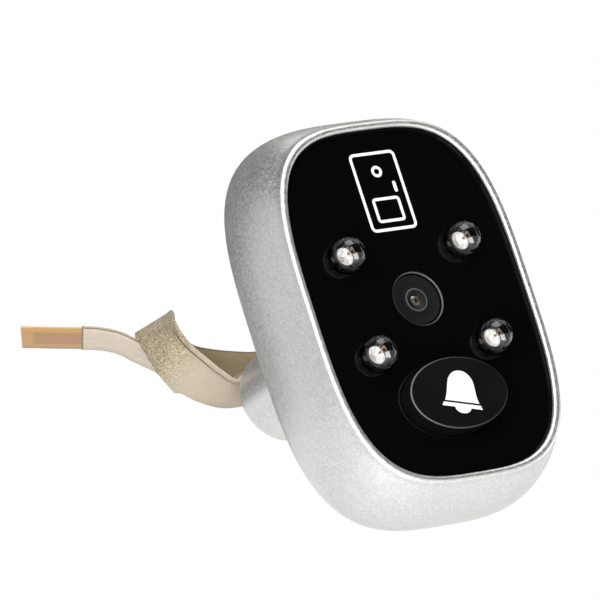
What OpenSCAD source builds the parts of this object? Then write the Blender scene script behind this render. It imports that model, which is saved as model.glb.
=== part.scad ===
// Peephole door camera, outdoor unit, in millimetres.
// The origin is on the spigot's axis in the door plane, which the rear pad rests on.
// The front faces -Y, the spigot and its ribbon leave along +Y, and +Z is up.

/* [Case] */
// Width of the case at its widest section
case_w = 43; // [42:0.2:50]
// Height of the case at its widest section
case_h = 61.8; // [60:0.2:70]
// Depth of the case from the front rim to the rear face
case_d = 18.5; // [18:0.1:22]
// Squareness of the front rim's oval outline, where 2 is an ellipse
case_power = 3.35; // [3.2:0.05:4.5]
// Squareness of the upper half of the widest section
upper_power = 3.65; // [3.2:0.05:4.5]
// Squareness of its lower half
lower_power = 3.25; // [3.1:0.05:4.5]
// How far the front rim lies inside the widest section at top and bottom
case_taper = 2.8; // [2:0.1:3]
// How far it lies inside it at the sides
side_taper = 2; // [1.6:0.1:2.8]
// How far the rounded rear edge draws the outline in
rear_round = 6.5; // [5.5:0.25:6.75]
// Depth of the rounded rear edge
rear_depth = 8; // [6:0.25:9]
// Thickness of the case wall
wall = 1.6; // [1.2:0.1:2]
// Width of the front rim round the panel
rim_w = 1.2; // [1:0.1:1.6]
// Height of the front rim above the panel
rim_lip = 1; // [0.4:0.1:1.4]
// How far the middle of the case lies below the spigot's axis
case_drop = 1.5; // [0:0.1:2]

/* [Panel] */
// Thickness of the gloss front panel
panel_t = 2; // [1.5:0.1:2.5]
// Gap between the panel's edge and the rim
panel_gap = 0.1; // [0.05:0.05:0.2]
// Thickness of the adhesive under the panel
glue_t = 0.3; // [0.2:0.05:0.5]
// Width of the adhesive ring
glue_w = 1.4; // [0.8:0.1:1.8]
// Thickness of the inner frame's plate
frame_t = 1.5; // [1.2:0.1:2]
// Width of the step that carries the inner frame
step_w = 2; // [1.5:0.1:2.2]
// Thickness of that step
step_t = 1.5; // [1:0.1:2]

/* [Rear cover] */
// Thickness of the rear cover
cover_t = 2; // [1.8:0.1:2.4]
// Flat land between the rounded rear edge and the cover
rear_land = 0.6; // [0.4:0.1:0.8]
// Width of the ledge that the cover seals on
ledge_w = 0.7; // [0.6:0.05:0.8]
// Thickness of that ledge
ledge_t = 1.2; // [0.8:0.1:1.5]
// Thickness of the seal under the cover
seal_t = 0.5; // [0.3:0.05:0.8]
// Thickness of the foam pad on the rear
pad_t = 0.8; // [0.5:0.1:1.5]
// How far the pad's edge lies inside the cover's
pad_margin = 0.9; // [0.5:0.1:2]
// How much closer to the middle the upper screw posts are than the lower ones
post_x_step = 3.3; // [2.9:0.1:5]
// How far the upper screw posts lie below the top of the rear opening
post_top_margin = 4; // [3.5:0.1:6]
// How far the lower screw posts lie inside the sides of the rear opening
post_side_margin = 0.9; // [0.8:0.05:1.3]
// Depth of the lower cover screws below the case's middle
post_z_low = 13; // [12.5:0.1:14]
// Radius of a screw post in front of the board
post_r = 2.3; // [2:0.05:2.4]
// Radius of a screw post behind the board
post_tip_r = 1.5; // [1.4:0.05:1.6]
// Radius of the small screws' shanks
screw_r = 0.75; // [0.6:0.05:0.85]
// Radius of the small screws' heads
head_r = 1.5; // [1.3:0.05:1.6]
// Height of the small screws' heads
head_t = 0.9; // [0.7:0.05:1]
// Length of thread that the small screws take
thread_len = 5; // [3:0.5:6]

/* [Spigot] */
// Radius of the spigot that enters the door
spigot_r = 7.1; // [6.9:0.05:8]
// Length of the spigot behind the door plane
spigot_len = 25; // [18:0.5:40]
// Radius of the rounded end of the spigot
spigot_round = 1.5; // [0.5:0.1:1.7]
// How far the spigot's collar in the cover stands out from the spigot
collar_w = 0.6; // [0.6:0.1:1]
// Thickness of the spigot's flange inside the cover
flange_t = 1.6; // [1.4:0.05:2]
// Outer radius of a threaded insert
insert_r = 1.9; // [1.7:0.05:2]
// Radius of the thread in an insert
insert_hole_r = 1.25; // [1:0.05:1.4]
// Length of an insert
insert_len = 8; // [5:0.5:10]

/* [Lens] */
// Height of the lens above the case's middle
lens_rise = 0.4; // [0:0.1:1]
// Radius of the lens barrel's nose in the panel
nose_r = 3.9; // [3.5:0.05:4.1]
// How far the nose lies below the panel's face
nose_sink = 0.3; // [0.2:0.1:0.8]
// Radius of the lens stack
glass_r = 3.35; // [3:0.05:3.5]
// Radius of the aperture in the nose
aperture_r = 0.85; // [0.5:0.05:1.2]
// Thickness of the lens holder's wall
holder_wall = 0.9; // [0.7:0.05:1.2]

/* [Lights] */
// Distance between the lights across the panel
led_pitch_x = 20.2; // [19:0.1:21]
// Distance between the lights up the panel
led_pitch_z = 15.4; // [15:0.1:15.8]
// Radius of a light's dome
led_r = 2.5; // [2.3:0.05:2.6]
// How far a dome's centre stands in front of the panel
led_rise = 1.5; // [1:0.1:1.8]
// Length of a light from its dome's centre to its base
led_len = 6.1; // [5.5:0.1:6.5]
// Radius of the flange at a light's base
led_flange_r = 2.9; // [2.8:0.05:2.95]
// Distance between the two legs of a light
leg_pitch = 2.54; // [2:0.02:2.6]

/* [Button] */
// Width of the button at the panel
button_w = 16.9; // [15.6:0.1:17.8]
// Height of the button at the panel
button_h = 11.2; // [10.4:0.1:12.4]
// How far the button stands in front of the panel
button_rise = 2.8; // [2:0.1:3.5]
// How much narrower each side of the button is at its face
button_draft = 0.1; // [0.05:0.05:0.9]
// Depth of the button's middle below the lens
button_below = 15.7; // [15.6:0.05:16.2]
// Gap round the button in the panel
button_gap = 0.15; // [0.15:0.05:0.3]
// How far the button's flange reaches behind the panel, top and bottom
button_grip = 1.1; // [0.8:0.1:1.3]
// Travel of the button
button_travel = 0.5; // [0.2:0.05:0.7]
// Turn of the bell sign on the button
bell_turn = 14; // [0:1:20]
// Width of the bell sign at its lip
bell_w = 6.6; // [5:0.1:7.5]

/* [Board] */
// Thickness of the board
board_t = 1.6; // [1:0.1:1.8]
// How far the board's edge lies inside the rear opening
board_margin = 0.7; // [0.4:0.1:1]
// How far the heads of the board's screws lie inside its edge
board_screw_edge = 0.9; // [0.7:0.1:1.2]
// Height of the ribbon's socket on the board
socket_t = 2.2; // [1.8:0.1:2.4]
// Width of the switch under the button
switch_w = 6; // [5:0.1:6.2]
// Height of the switch's body on the board
switch_t = 3.2; // [2.8:0.1:3.4]

/* [Ribbon] */
// Width of the ribbon
ribbon_w = 6.8; // [6:0.1:7]
// Thickness of the ribbon
ribbon_t = 0.4; // [0.3:0.02:0.5]
// Width of the bare tail at the ribbon's end
tail_w = 6.4; // [5.6:0.1:6.8]
// Thickness of that tail
tail_t = 0.3; // [0.2:0.02:0.3]
// Number of contacts on the tail
contact_count = 10; // [6:1:12]
// Length of a contact
contact_len = 4; // [2:0.5:5]

/* [Hidden] */
$fn = 48;

// Clearances of pieces that slip into each other
fit = 0.05;
slip = 0.15;
room = 0.3;

// Planes across the depth, from the rear pad to the front
rear_y = -pad_t;
cover_y = rear_y - cover_t;
ledge_y = cover_y - seal_t;
rim_y = rear_y - case_d;
panel_y = rim_y + rim_lip;
panel_back_y = panel_y + panel_t;
frame_y = panel_back_y + glue_t;
step_y = frame_y + frame_t;
flange_y = cover_y - flange_t;
board_back_y = flange_y - room - socket_t;
board_y = board_back_y - board_t;

// Insets of the case's rings from its widest outline
pocket_in = case_taper + rim_w;
step_in = pocket_in + step_w;
cover_in = rear_round + rear_land;
ledge_in = cover_in + ledge_w;
rim_round = 0.54 * rim_w;
rim_edge = 0.41 * rim_w;
rear_arc_y = rear_y - rear_depth;
side_y = rim_y + rim_round;

// Heights of the middles
case_z = -case_drop;
lens_z = case_z + lens_rise;
button_z = lens_z - button_below;

outline_steps = 72;
button_steps = 64;

// Point of a rounded outline with half-axes a and b in the direction of an angle
function oval_point(a, b, power, angle) =
    let (c = abs(cos(angle)) / a, s = abs(sin(angle)) / b)
    [cos(angle), sin(angle)] / pow(pow(c, power) + pow(s, power), 1 / power);

// Points of an outline whose upper and lower half have their own power
function oval(a, b, upper, lower, steps) =
    [for (i = [0 : steps - 1]) oval_point(a, b, 2 * i < steps ? upper : lower, 360 * i / steps)];

// Outline of the case, drawn in by an inset. Front is 1 at the rim and 0 at and behind the widest section
function case_oval(inset, front = 0) =
    oval(case_w / 2 - inset + front * (case_taper - side_taper), case_h / 2 - inset,
        upper_power + front * (case_power - upper_power), lower_power + front * (case_power - lower_power),
        outline_steps);

// How much of the rim's own outline the case has at a depth
function case_front(y) = y > rear_arc_y ? 0 : pow((rear_arc_y - y) / (rear_arc_y - side_y), 2);

// How far the case's outside lies within its widest outline at a depth
function case_in(y) = y > rear_arc_y
    ? rear_round * (1 - sqrt(1 - pow((y - rear_arc_y) / rear_depth, 2)))
    : case_taper * case_front(y);

// Faces that join rings of points into a closed ring-shaped skin
function loop_faces(rings, steps) =
    [for (r = [0 : rings - 1], i = [0 : steps - 1], half = [0, 1])
        let (a = r * steps + i,
            b = r * steps + (i + 1) % steps,
            c = ((r + 1) % rings) * steps + (i + 1) % steps,
            d = ((r + 1) % rings) * steps + i)
        half == 0 ? [a, b, c] : [a, c, d]];

// Faces that join rings of points into a skin closed by a fan at each end
function rod_faces(rings, steps) = concat(
    [for (r = [0 : rings - 2], i = [0 : steps - 1], half = [0, 1])
        let (a = r * steps + i,
            b = r * steps + (i + 1) % steps,
            c = (r + 1) * steps + (i + 1) % steps,
            d = (r + 1) * steps + i)
        half == 0 ? [a, b, c] : [a, c, d]],
    [for (i = [1 : steps - 2]) [0, i + 1, i]],
    [for (i = [1 : steps - 2]) let (e = (rings - 1) * steps) [e, e + i, e + i + 1]]);

// A plate with a flat outline, from one depth to another
module plate(y0, y1) {
    translate([0, y1, 0])
        rotate([90, 0, 0])
            linear_extrude(y1 - y0)
                children();
}

// A plate whose outline lies round the case's middle
module case_plate(y0, y1, points) {
    translate([0, 0, case_z])
        plate(y0, y1)
            polygon(points);
}

// A round rod along the depth
module rod(r, y0, y1, x = 0, z = 0) {
    translate([x, y0, z])
        rotate([-90, 0, 0])
            cylinder(r = r, h = y1 - y0);
}

// A block with its middle at x and z
module block(w, h, y0, y1, x = 0, z = 0) {
    translate([x - w / 2, y0, z - h / 2])
        cube([w, y1 - y0, h]);
}

// A shape turned about the depth axis from points of radius and depth
module turned(points, x = 0, z = 0) {
    translate([x, 0, z])
        rotate([-90, 0, 0])
            rotate_extrude()
                polygon(points);
}

// A pan-head screw that points towards the front, with a slot across its head
module screw(x, z, seat_y, len, r = screw_r, cap_r = head_r, cap_t = head_t) {
    slot_w = r * 0.5;
    difference() {
        union() {
            rod(r, seat_y - len, seat_y, x, z);
            rod(cap_r, seat_y, seat_y + cap_t, x, z);
        }
        block(2 * cap_r, slot_w, seat_y + cap_t / 2, seat_y + cap_t + 1, x, z);
        block(slot_w, 2 * cap_r, seat_y + cap_t / 2, seat_y + cap_t + 1, x, z);
    }
}

// Places of the four cover screws
post_x_low = case_w / 2 - ledge_in - post_tip_r - post_side_margin;
post_z_top = case_h / 2 - ledge_in - post_tip_r - post_top_margin;
post_x_top = post_x_low - post_x_step;
post_places = [[post_x_top, case_z + post_z_top], [-post_x_top, case_z + post_z_top],
    [post_x_low, case_z - post_z_low], [-post_x_low, case_z - post_z_low]];

// Places of the four lights, upper left first as seen from the front
led_places = [for (v = [1, -1], h = [-1, 1])
    [h * led_pitch_x / 2, lens_z + v * led_pitch_z / 2]];

// The case

// Rings of the case's skin, as inset, depth and share of the rim's outline, once round the wall's section
rear_arc_steps = 6;
side_steps = 6;
inner_steps = 7;
ledge_front_y = ledge_y - ledge_t;
rim_steps = 3;
shell_rings = concat(
    [[pocket_in, step_y, 1], [pocket_in, rim_y + rim_edge, 1], [pocket_in - rim_edge, rim_y, 1]],
    [for (i = [0 : rim_steps])
        let (a = 90 * i / rim_steps)
        [case_taper + rim_round * (1 - sin(a)), rim_y + rim_round * (1 - cos(a)), 1]],
    [for (i = [1 : side_steps])
        let (y = side_y + (rear_arc_y - side_y) * i / side_steps)
        [case_in(y), y, case_front(y)]],
    [for (i = [1 : rear_arc_steps])
        let (a = 90 * i / rear_arc_steps)
        [rear_round * (1 - cos(a)), rear_arc_y + rear_depth * sin(a), 0]],
    [[cover_in, rear_y, 0], [cover_in, ledge_y, 0], [ledge_in, ledge_y, 0], [ledge_in, ledge_front_y, 0]],
    [for (i = [0 : inner_steps])
        let (y = ledge_front_y + (step_y + step_t - ledge_front_y) * i / inner_steps)
        [wall + case_in(y), y, case_front(y)]],
    [[step_in, step_y + step_t, 1], [step_in, step_y, 1]]);

module front_housing() {
    points = [for (ring = shell_rings, p = case_oval(ring[0], ring[2])) [p[0], ring[1], p[1] + case_z]];
    color("silver")
        polyhedron(points, loop_faces(len(shell_rings), outline_steps), convexity = 8);
}

cover_head_y = rear_y - head_t - slip;
collar_r = spigot_r + collar_w;
flange_screw_wall = 0.5;
flange_screw_z = collar_r + head_r + 2 * slip + flange_screw_wall;
flange_r = flange_screw_z + head_r + room;

module rear_cover() {
    color("silver")
        difference() {
            case_plate(cover_y, rear_y, case_oval(cover_in + panel_gap));
            rod(collar_r + slip, cover_y - 1, rear_y + 1);
            for (p = post_places) {
                rod(screw_r + slip, cover_y - 1, rear_y + 1, p[0], p[1]);
                rod(head_r + slip, cover_head_y, rear_y + 1, p[0], p[1]);
            }
            for (v = [1, -1]) {
                rod(screw_r + slip, cover_y - 1, rear_y + 1, 0, v * flange_screw_z);
                rod(head_r + slip, cover_head_y, rear_y + 1, 0, v * flange_screw_z);
            }
        }
}

module housing_seal() {
    color("dimgray")
        difference() {
            case_plate(ledge_y, cover_y, case_oval(cover_in + slip));
            case_plate(ledge_y - 1, cover_y + 1, case_oval(ledge_in - slip));
        }
}

module mounting_pad() {
    color([0.2, 0.2, 0.21])
        difference() {
            case_plate(rear_y, 0, case_oval(cover_in + pad_margin));
            rod(collar_r + 2 * room, rear_y - 1, 1);
            for (p = post_places)
                rod(head_r + 2 * room, rear_y - 1, 1, p[0], p[1]);
        }
}

module cover_screws() {
    color("lightgray")
        for (p = post_places)
            screw(p[0], p[1], cover_head_y, cover_head_y - cover_y + thread_len);
}

// The spigot and what sits in it

spigot_slot_w = 5 * ribbon_t;
spigot_slot_h = ribbon_w + 2 * room;
insert_pitch = 2 * (spigot_r - spigot_round - insert_r);
flange_thread = flange_t - slip;
ribbon_seal_len = 4;

module spigot() {
    color("silver")
        difference() {
            turned(concat(
                [[0, flange_y], [flange_r, flange_y], [flange_r, cover_y],
                    [collar_r, cover_y], [collar_r, rear_y], [spigot_r, rear_y]],
                [for (i = [0 : 6])
                    let (a = 15 * i)
                    [spigot_r - spigot_round * (1 - cos(a)),
                        spigot_len - spigot_round * (1 - sin(a))]],
                [[0, spigot_len]]));
            block(spigot_slot_w, spigot_slot_h, flange_y - 1, spigot_len + 1);
            for (h = [1, -1])
                rod(insert_r + fit, spigot_len - insert_len, spigot_len + 1, h * insert_pitch / 2);
            for (v = [1, -1])
                rod(screw_r + fit, flange_y - 1, cover_y + 1, 0, v * flange_screw_z);
        }
}

module spigot_screws() {
    color("lightgray")
        for (v = [1, -1])
            screw(0, v * flange_screw_z, cover_head_y, cover_head_y - cover_y + flange_thread);
}

module spigot_inserts() {
    color("goldenrod")
        for (h = [1, -1])
            difference() {
                rod(insert_r, spigot_len - insert_len, spigot_len, h * insert_pitch / 2);
                rod(insert_hole_r, spigot_len - insert_len - 1, spigot_len + 1, h * insert_pitch / 2);
            }
}

module ribbon_seal() {
    color("dimgray")
        difference() {
            block(spigot_slot_w - 2 * fit, spigot_slot_h - 2 * fit,
                spigot_len - ribbon_seal_len, spigot_len);
            block(ribbon_t + 2 * fit, ribbon_w + 2 * fit,
                spigot_len - ribbon_seal_len - 1, spigot_len + 1);
        }
}

// The front

nose_gap = 0.12;
led_gap = 0.1;
flange_room = 0.4;
frame_gap = 0.15;

// Outline of the button, drawn out by a margin across and up
function button_oval(across, up) =
    oval(button_w / 2 + across, button_h / 2 + up, 2, 2, button_steps);

module button_hole(y0, y1, across, up) {
    translate([0, 0, button_z])
        plate(y0, y1)
            polygon(button_oval(across, up));
}

module front_panel() {
    color([0.03, 0.03, 0.035])
        difference() {
            case_plate(panel_y, panel_back_y, case_oval(pocket_in + panel_gap, 1));
            rod(nose_r + nose_gap, panel_y - 1, panel_back_y + 1, 0, lens_z);
            for (p = led_places)
                rod(led_r + led_gap, panel_y - 1, panel_back_y + 1, p[0], p[1]);
            button_hole(panel_y - 1, panel_back_y + 1, button_gap, button_gap);
        }
}

module panel_adhesive() {
    color("whitesmoke")
        difference() {
            case_plate(panel_back_y, frame_y, case_oval(pocket_in + room, 1));
            case_plate(panel_back_y - 1, frame_y + 1, case_oval(pocket_in + room + glue_w, 1));
        }
}

module frame_post(x, z, r, tip_y) {
    rod(r, step_y - frame_t / 2, board_y, x, z);
    if (tip_y > board_y)
        rod(post_tip_r, board_y - 1, tip_y, x, z);
}

module inner_frame() {
    color([0.1, 0.1, 0.1])
        difference() {
            union() {
                case_plate(frame_y, step_y, case_oval(pocket_in + frame_gap, 1));
                for (p = post_places)
                    frame_post(p[0], p[1], post_r, cover_y);
                for (h = [1, -1])
                    frame_post(h * board_screw_x, lens_z, post_tip_r + fit, board_y);
            }
            rod(barrel_r + room, frame_y - 1, step_y + 1, 0, lens_z);
            for (p = led_places)
                rod(led_flange_r + room, frame_y - 1, step_y + 1, p[0], p[1]);
            button_hole(frame_y - 1, step_y + 1, flange_room, button_grip + flange_room);
            for (p = post_places)
                rod(screw_r + fit, cover_y - thread_len - room, cover_y + 1, p[0], p[1]);
            for (h = [1, -1])
                rod(screw_r + fit, board_y - thread_len - room, board_y + 1, h * board_screw_x, lens_z);
        }
}

// The lens

nose_y = panel_y + nose_sink;
barrel_y = panel_back_y + slip;
led_holder_gap = 0.4;
holder_w = led_pitch_x - 2 * led_flange_r - 2 * led_holder_gap;
barrel_r = holder_w / 2 - holder_wall;
nose_edge = 0.3;
dish_depth = 0.3;
dish_r = 2.05 * aperture_r;
stop_t = 0.4;
stack_y = nose_y + dish_depth + stop_t;
front_lens_t = 1.5;
rear_lens_t = 1.5;
retainer_t = 0.8;
filter_t = 0.4;
sensor_w = 6.5;
sensor_t = 1.2;
sensor_gap = 0.6;
barrel_end_y = board_y - sensor_t - sensor_gap;
filter_y = barrel_end_y - filter_t;
retainer_y = filter_y - retainer_t;
rear_lens_y = retainer_y - rear_lens_t;
spacer_y = stack_y + front_lens_t;
lens_bulge = 0.7;
holder_front_y = step_y + room;
holder_cavity_y = barrel_end_y + 0.5;
holder_cavity_r = barrel_r - holder_wall;
holder_screw_r = 0.55;
holder_screw_len = 3;
holder_screw_at = holder_w / 2 - 1.5;

module lens_barrel() {
    color([0.12, 0.12, 0.13])
        turned([[aperture_r, nose_y + dish_depth], [dish_r, nose_y + dish_depth],
            [nose_r - nose_edge, nose_y], [nose_r, nose_y], [nose_r, barrel_y], [barrel_r, barrel_y],
            [barrel_r, barrel_end_y], [glass_r + fit, barrel_end_y], [glass_r + fit, stack_y],
            [aperture_r, stack_y]], 0, lens_z);
}

// Radius of the ball that gives a lens its bulge
ball_r = (glass_r * glass_r + lens_bulge * lens_bulge) / (2 * lens_bulge);

// A plano-convex lens that bulges away from its flat face
module bulged_lens(flat_y, bulge_y) {
    centre_y = bulge_y + (bulge_y > flat_y ? -ball_r : ball_r);
    intersection() {
        rod(glass_r, min(flat_y, bulge_y), max(flat_y, bulge_y), 0, lens_z);
        translate([0, centre_y, lens_z])
            sphere(r = ball_r, $fn = 96);
    }
}

module front_lens() {
    color([0.5, 0.6, 0.75, 0.6])
        bulged_lens(stack_y, spacer_y);
}

module lens_spacer() {
    color("dimgray")
        turned([[glass_r * 0.75, spacer_y], [glass_r, spacer_y], [glass_r, rear_lens_y],
            [glass_r * 0.75, rear_lens_y]], 0, lens_z);
}

module rear_lens() {
    color([0.5, 0.6, 0.75, 0.6])
        bulged_lens(retainer_y, rear_lens_y);
}

module lens_retainer() {
    color("dimgray")
        turned([[glass_r * 0.8, retainer_y], [glass_r, retainer_y], [glass_r, filter_y],
            [glass_r * 0.8, filter_y]], 0, lens_z);
}

module ir_filter() {
    color([0.6, 0.3, 0.4, 0.5])
        rod(glass_r, filter_y, barrel_end_y, 0, lens_z);
}

module lens_holder() {
    color([0.08, 0.08, 0.09])
        difference() {
            block(holder_w, holder_w, holder_front_y, board_y, 0, lens_z);
            rod(barrel_r + fit, holder_front_y - 1, holder_cavity_y, 0, lens_z);
            rod(holder_cavity_r, holder_cavity_y - 1, board_y + 1, 0, lens_z);
            for (d = [1, -1])
                rod(holder_screw_r + fit, board_y - holder_screw_len - slip, board_y + 1,
                    d * holder_screw_at, lens_z + d * holder_screw_at);
        }
}

module holder_screws() {
    color("lightgray")
        for (d = [1, -1])
            screw(d * holder_screw_at, lens_z + d * holder_screw_at, board_back_y,
                board_t + holder_screw_len, holder_screw_r, 2 * holder_screw_r, holder_screw_r);
}

module image_sensor() {
    color([0.15, 0.2, 0.18])
        block(sensor_w, sensor_w, board_y - sensor_t, board_y, 0, lens_z);
}

// The lights

led_centre_y = panel_y - led_rise;
led_base_y = led_centre_y + led_len;
led_flange_t = 1;
led_core_r = 1.9;
led_core_y = led_centre_y + 0.2;
leg_r = 0.25;
leg_tip = 0.8;
post_top_y = led_core_y + 0.5;
post_foot_y = post_top_y + 1.8;
cup_t = 0.9;
cup_r = 0.82;
cup_shift = 0.1;
cup_floor_r = 0.35;
cup_mouth_r = 0.72;
cup_floor_t = 0.3;
cup_foot_t = 0.6;
wire_post_w = 0.36;
wire_post_t = 0.5;
wire_post_shift = 0.27;

module ir_led(p) {
    color([0.9, 0.93, 0.95, 0.5])
        difference() {
            union() {
                translate([p[0], led_centre_y, p[1]])
                    sphere(r = led_r);
                rod(led_r, led_centre_y, led_base_y, p[0], p[1]);
                rod(led_flange_r, led_base_y - led_flange_t, led_base_y, p[0], p[1]);
            }
            rod(led_core_r, led_core_y, led_base_y + 1, p[0], p[1]);
        }
}

// The cup post and the wire post of a light, with their legs
module led_frame(p) {
    wire_x = p[0] + leg_pitch / 2;
    cup_x = p[0] - leg_pitch / 2;
    foot_w = leg_pitch / 2 + leg_r + cup_floor_r;
    color("gainsboro") {
        rod(leg_r, post_foot_y, board_back_y + leg_tip, wire_x, p[1]);
        block(wire_post_w, wire_post_t, post_top_y, post_foot_y + leg_r, wire_x - wire_post_shift, p[1]);
        rod(leg_r, post_foot_y, board_back_y + leg_tip, cup_x, p[1]);
        block(foot_w, cup_foot_t, post_top_y + cup_t, post_foot_y + leg_r,
            cup_x - leg_r + foot_w / 2, p[1]);
        difference() {
            rod(cup_r, post_top_y, post_top_y + cup_t, p[0] - cup_shift, p[1]);
            translate([p[0] - cup_shift, post_top_y + cup_t - cup_floor_t, p[1]])
                rotate([90, 0, 0])
                    cylinder(r1 = cup_floor_r, r2 = cup_mouth_r, h = cup_t - cup_floor_t + slip);
        }
    }
}

module led_spacer(p) {
    color([0.1, 0.1, 0.1])
        difference() {
            rod(led_flange_r, led_base_y, board_y, p[0], p[1]);
            for (h = [1, -1])
                rod(leg_r + fit, led_base_y - 1, board_y + 1, p[0] + h * leg_pitch / 2, p[1]);
        }
}

// The board and what is soldered on it

board_screw_room = 0.2;
board_in = ledge_in + board_margin;
board_b = case_h / 2 - board_in;
board_screw_x = case_w / 2 - board_in - head_r - board_screw_edge;
chip_t = 1;
socket_w = 3.2;
socket_wall = 1.3;
socket_slot_y = board_back_y + 0.9;

module main_board() {
    color([0.05, 0.3, 0.15])
        difference() {
            case_plate(board_y, board_back_y, case_oval(board_in));
            for (p = post_places)
                rod((p[1] > case_z ? post_tip_r : post_r) + board_screw_room,
                    board_y - 1, board_back_y + 1, p[0], p[1]);
            for (h = [1, -1])
                rod(screw_r + slip, board_y - 1, board_back_y + 1, h * board_screw_x, lens_z);
            for (d = [1, -1])
                rod(holder_screw_r + slip, board_y - 1, board_back_y + 1,
                    d * holder_screw_at, lens_z + d * holder_screw_at);
            for (p = led_places, h = [1, -1])
                rod(leg_r + fit, board_y - 1, board_back_y + 1, p[0] + h * leg_pitch / 2, p[1]);
        }
}

module board_screws() {
    color("lightgray")
        for (h = [1, -1])
            screw(h * board_screw_x, lens_z, board_back_y, board_t + thread_len);
}

// Sizes and places of the chips on the board's rear face, counted from the case's middle
chip_gap = 0.5;
video_w = 7;
video_x = -2;
memory_w = 6;
memory_h = 5;
memory_x = -3.5;
crystal_w = 3.2;
crystal_h = 2.5;
crystal_t = 0.8;
crystal_x = 3;
regulator_w = 3;
regulator_x = video_x + video_w / 2 + regulator_w;
capacitor_w = 1.2;
capacitor_h = 2;
capacitor_z = post_z_top + post_tip_r + chip_gap + capacitor_h / 2;
resistor_w = 0.8;
resistor_h = 1.6;
resistor_t = 0.5;
resistor_z = 3.4 - board_b;
video_z = resistor_z + resistor_h / 2 + 3 * chip_gap + video_w / 2;
memory_z = post_z_top - post_tip_r - chip_gap - memory_h / 2;

module chip(w, h, t, x, z) {
    block(w, h, board_back_y, board_back_y + t, x, case_z + z);
}

module video_chip() {
    color([0.08, 0.08, 0.08])
        chip(video_w, video_w, chip_t, video_x, video_z);
}

module memory_chip() {
    color([0.08, 0.08, 0.08])
        chip(memory_w, memory_h, chip_t, memory_x, memory_z);
}

module crystal() {
    color("lightgray")
        chip(crystal_w, crystal_h, crystal_t, crystal_x, memory_z);
}

module regulator() {
    color([0.08, 0.08, 0.08])
        chip(regulator_w, regulator_w, chip_t, regulator_x, video_z);
}

module capacitors() {
    color("tan")
        for (i = [-2 : 2])
            chip(capacitor_w, capacitor_h, chip_t, 2 * capacitor_w * i, capacitor_z);
}

module resistors() {
    color([0.1, 0.1, 0.1])
        for (i = [-3 : 3])
            chip(resistor_w, resistor_h, resistor_t, 2.5 * resistor_w * i, resistor_z);
}

module ribbon_socket() {
    color("ivory")
        difference() {
            block(socket_w, spigot_slot_h + 2 * socket_wall, board_back_y, board_back_y + socket_t);
            block(ribbon_t + 2 * fit, ribbon_w + 2 * fit, socket_slot_y, board_back_y + socket_t + 1);
        }
}

// The button and its switch

button_face_y = panel_y - button_rise;
button_flange_y = panel_back_y + 0.1;
button_flange_t = 1;
button_stem_r = 2.2;
button_edge = 0.35;
edge_steps = 4;
plunger_r = 1.7;
plunger_flange_r = 2.05;
switch_front_y = board_y - switch_t;
switch_cover_t = 0.2;
plunger_y = (button_flange_y + button_flange_t + switch_front_y - switch_cover_t) / 2;
plunger_flange_t = 1;
switch_cavity_r = 2.2;
switch_floor_y = board_y - 0.7;
dome_y = switch_front_y + plunger_flange_t + fit;

// Rings of the button's skin, as draw-in and depth, from its face to its stem
button_rings = concat(
    [for (i = [0 : edge_steps])
        let (a = 90 * i / edge_steps)
        [button_draft + button_edge * (1 - sin(a)), button_face_y + button_edge * (1 - cos(a))]],
    [[0, panel_y], [0, button_flange_y]]);

module bell_button() {
    points = [for (ring = button_rings, p = button_oval(-ring[0], -ring[0]))
        [p[0], ring[1], p[1] + button_z]];
    color([0.06, 0.06, 0.065])
        union() {
            polyhedron(points, rod_faces(len(button_rings), button_steps), convexity = 4);
            button_hole(button_flange_y, button_flange_y + button_flange_t, 0, button_grip);
            rod(button_stem_r, button_flange_y, plunger_y, 0, button_z);
        }
}

// Half the width of the bell at a height above its lip's lower edge, for a lip of width 2
function bell_half(h) =
    h > 1.1 ? 0.66 * sqrt(max(0, 1 - pow((h - 1.1) / 0.63, 2))) : 0.66 + 0.2 * pow((1.1 - h) / 0.83, 1.65);

bell_steps = 14;
bell_foot = 0.27;
bell_top = 1.73;
bell_t = 0.15;
bell_heights = [for (i = [0 : bell_steps]) bell_foot + (bell_top - bell_foot) * sin(90 * i / bell_steps)];
bell_shift = -0.4;
bell_drop = 2.4;

// The bell sign: a dome, a lip under a thin gap, and half a disc for the clapper
module bell_shape() {
    polygon(concat(
        [for (h = bell_heights) [bell_half(h), h]],
        [for (i = [bell_steps - 1 : -1 : 0]) [-bell_half(bell_heights[i]), bell_heights[i]]]));
    polygon(concat(
        [[1, 0], [0.93, 0.17], [-0.93, 0.17], [-1, 0]],
        [for (a = [180 : 15 : 360]) [0.39 * cos(a), 0.27 * sin(a)]]));
}

module bell_symbol() {
    color("white")
        translate([bell_shift, 0, button_z - bell_drop])
            rotate([0, bell_turn, 0])
                plate(button_face_y - bell_t, button_face_y)
                    scale(bell_w / 2)
                        bell_shape();
}

module switch_body() {
    color([0.15, 0.15, 0.15])
        difference() {
            block(switch_w, switch_w, switch_front_y, board_y, 0, button_z);
            rod(switch_cavity_r, switch_front_y - 1, switch_floor_y, 0, button_z);
        }
}

module switch_cover() {
    color("silver")
        difference() {
            block(switch_w, switch_w, switch_front_y - switch_cover_t, switch_front_y, 0, button_z);
            rod(plunger_r + slip, switch_front_y - 1, switch_front_y + 1, 0, button_z);
        }
}

module switch_plunger() {
    color("black")
        union() {
            rod(plunger_r, plunger_y, switch_front_y + plunger_flange_t, 0, button_z);
            rod(plunger_flange_r, switch_front_y + fit, switch_front_y + plunger_flange_t, 0, button_z);
        }
}

// The snap dome under the plunger, a thin shallow cone with a flat top
module switch_dome() {
    dome_t = 0.1;
    rim = switch_cavity_r - fit;
    color("silver")
        turned([[0, dome_y], [0.6, dome_y], [rim, switch_floor_y - dome_t], [rim, switch_floor_y],
            [rim - dome_t, switch_floor_y], [0.6, dome_y + dome_t], [0, dome_y + dome_t]], 0, button_z);
}

// The ribbon

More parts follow.
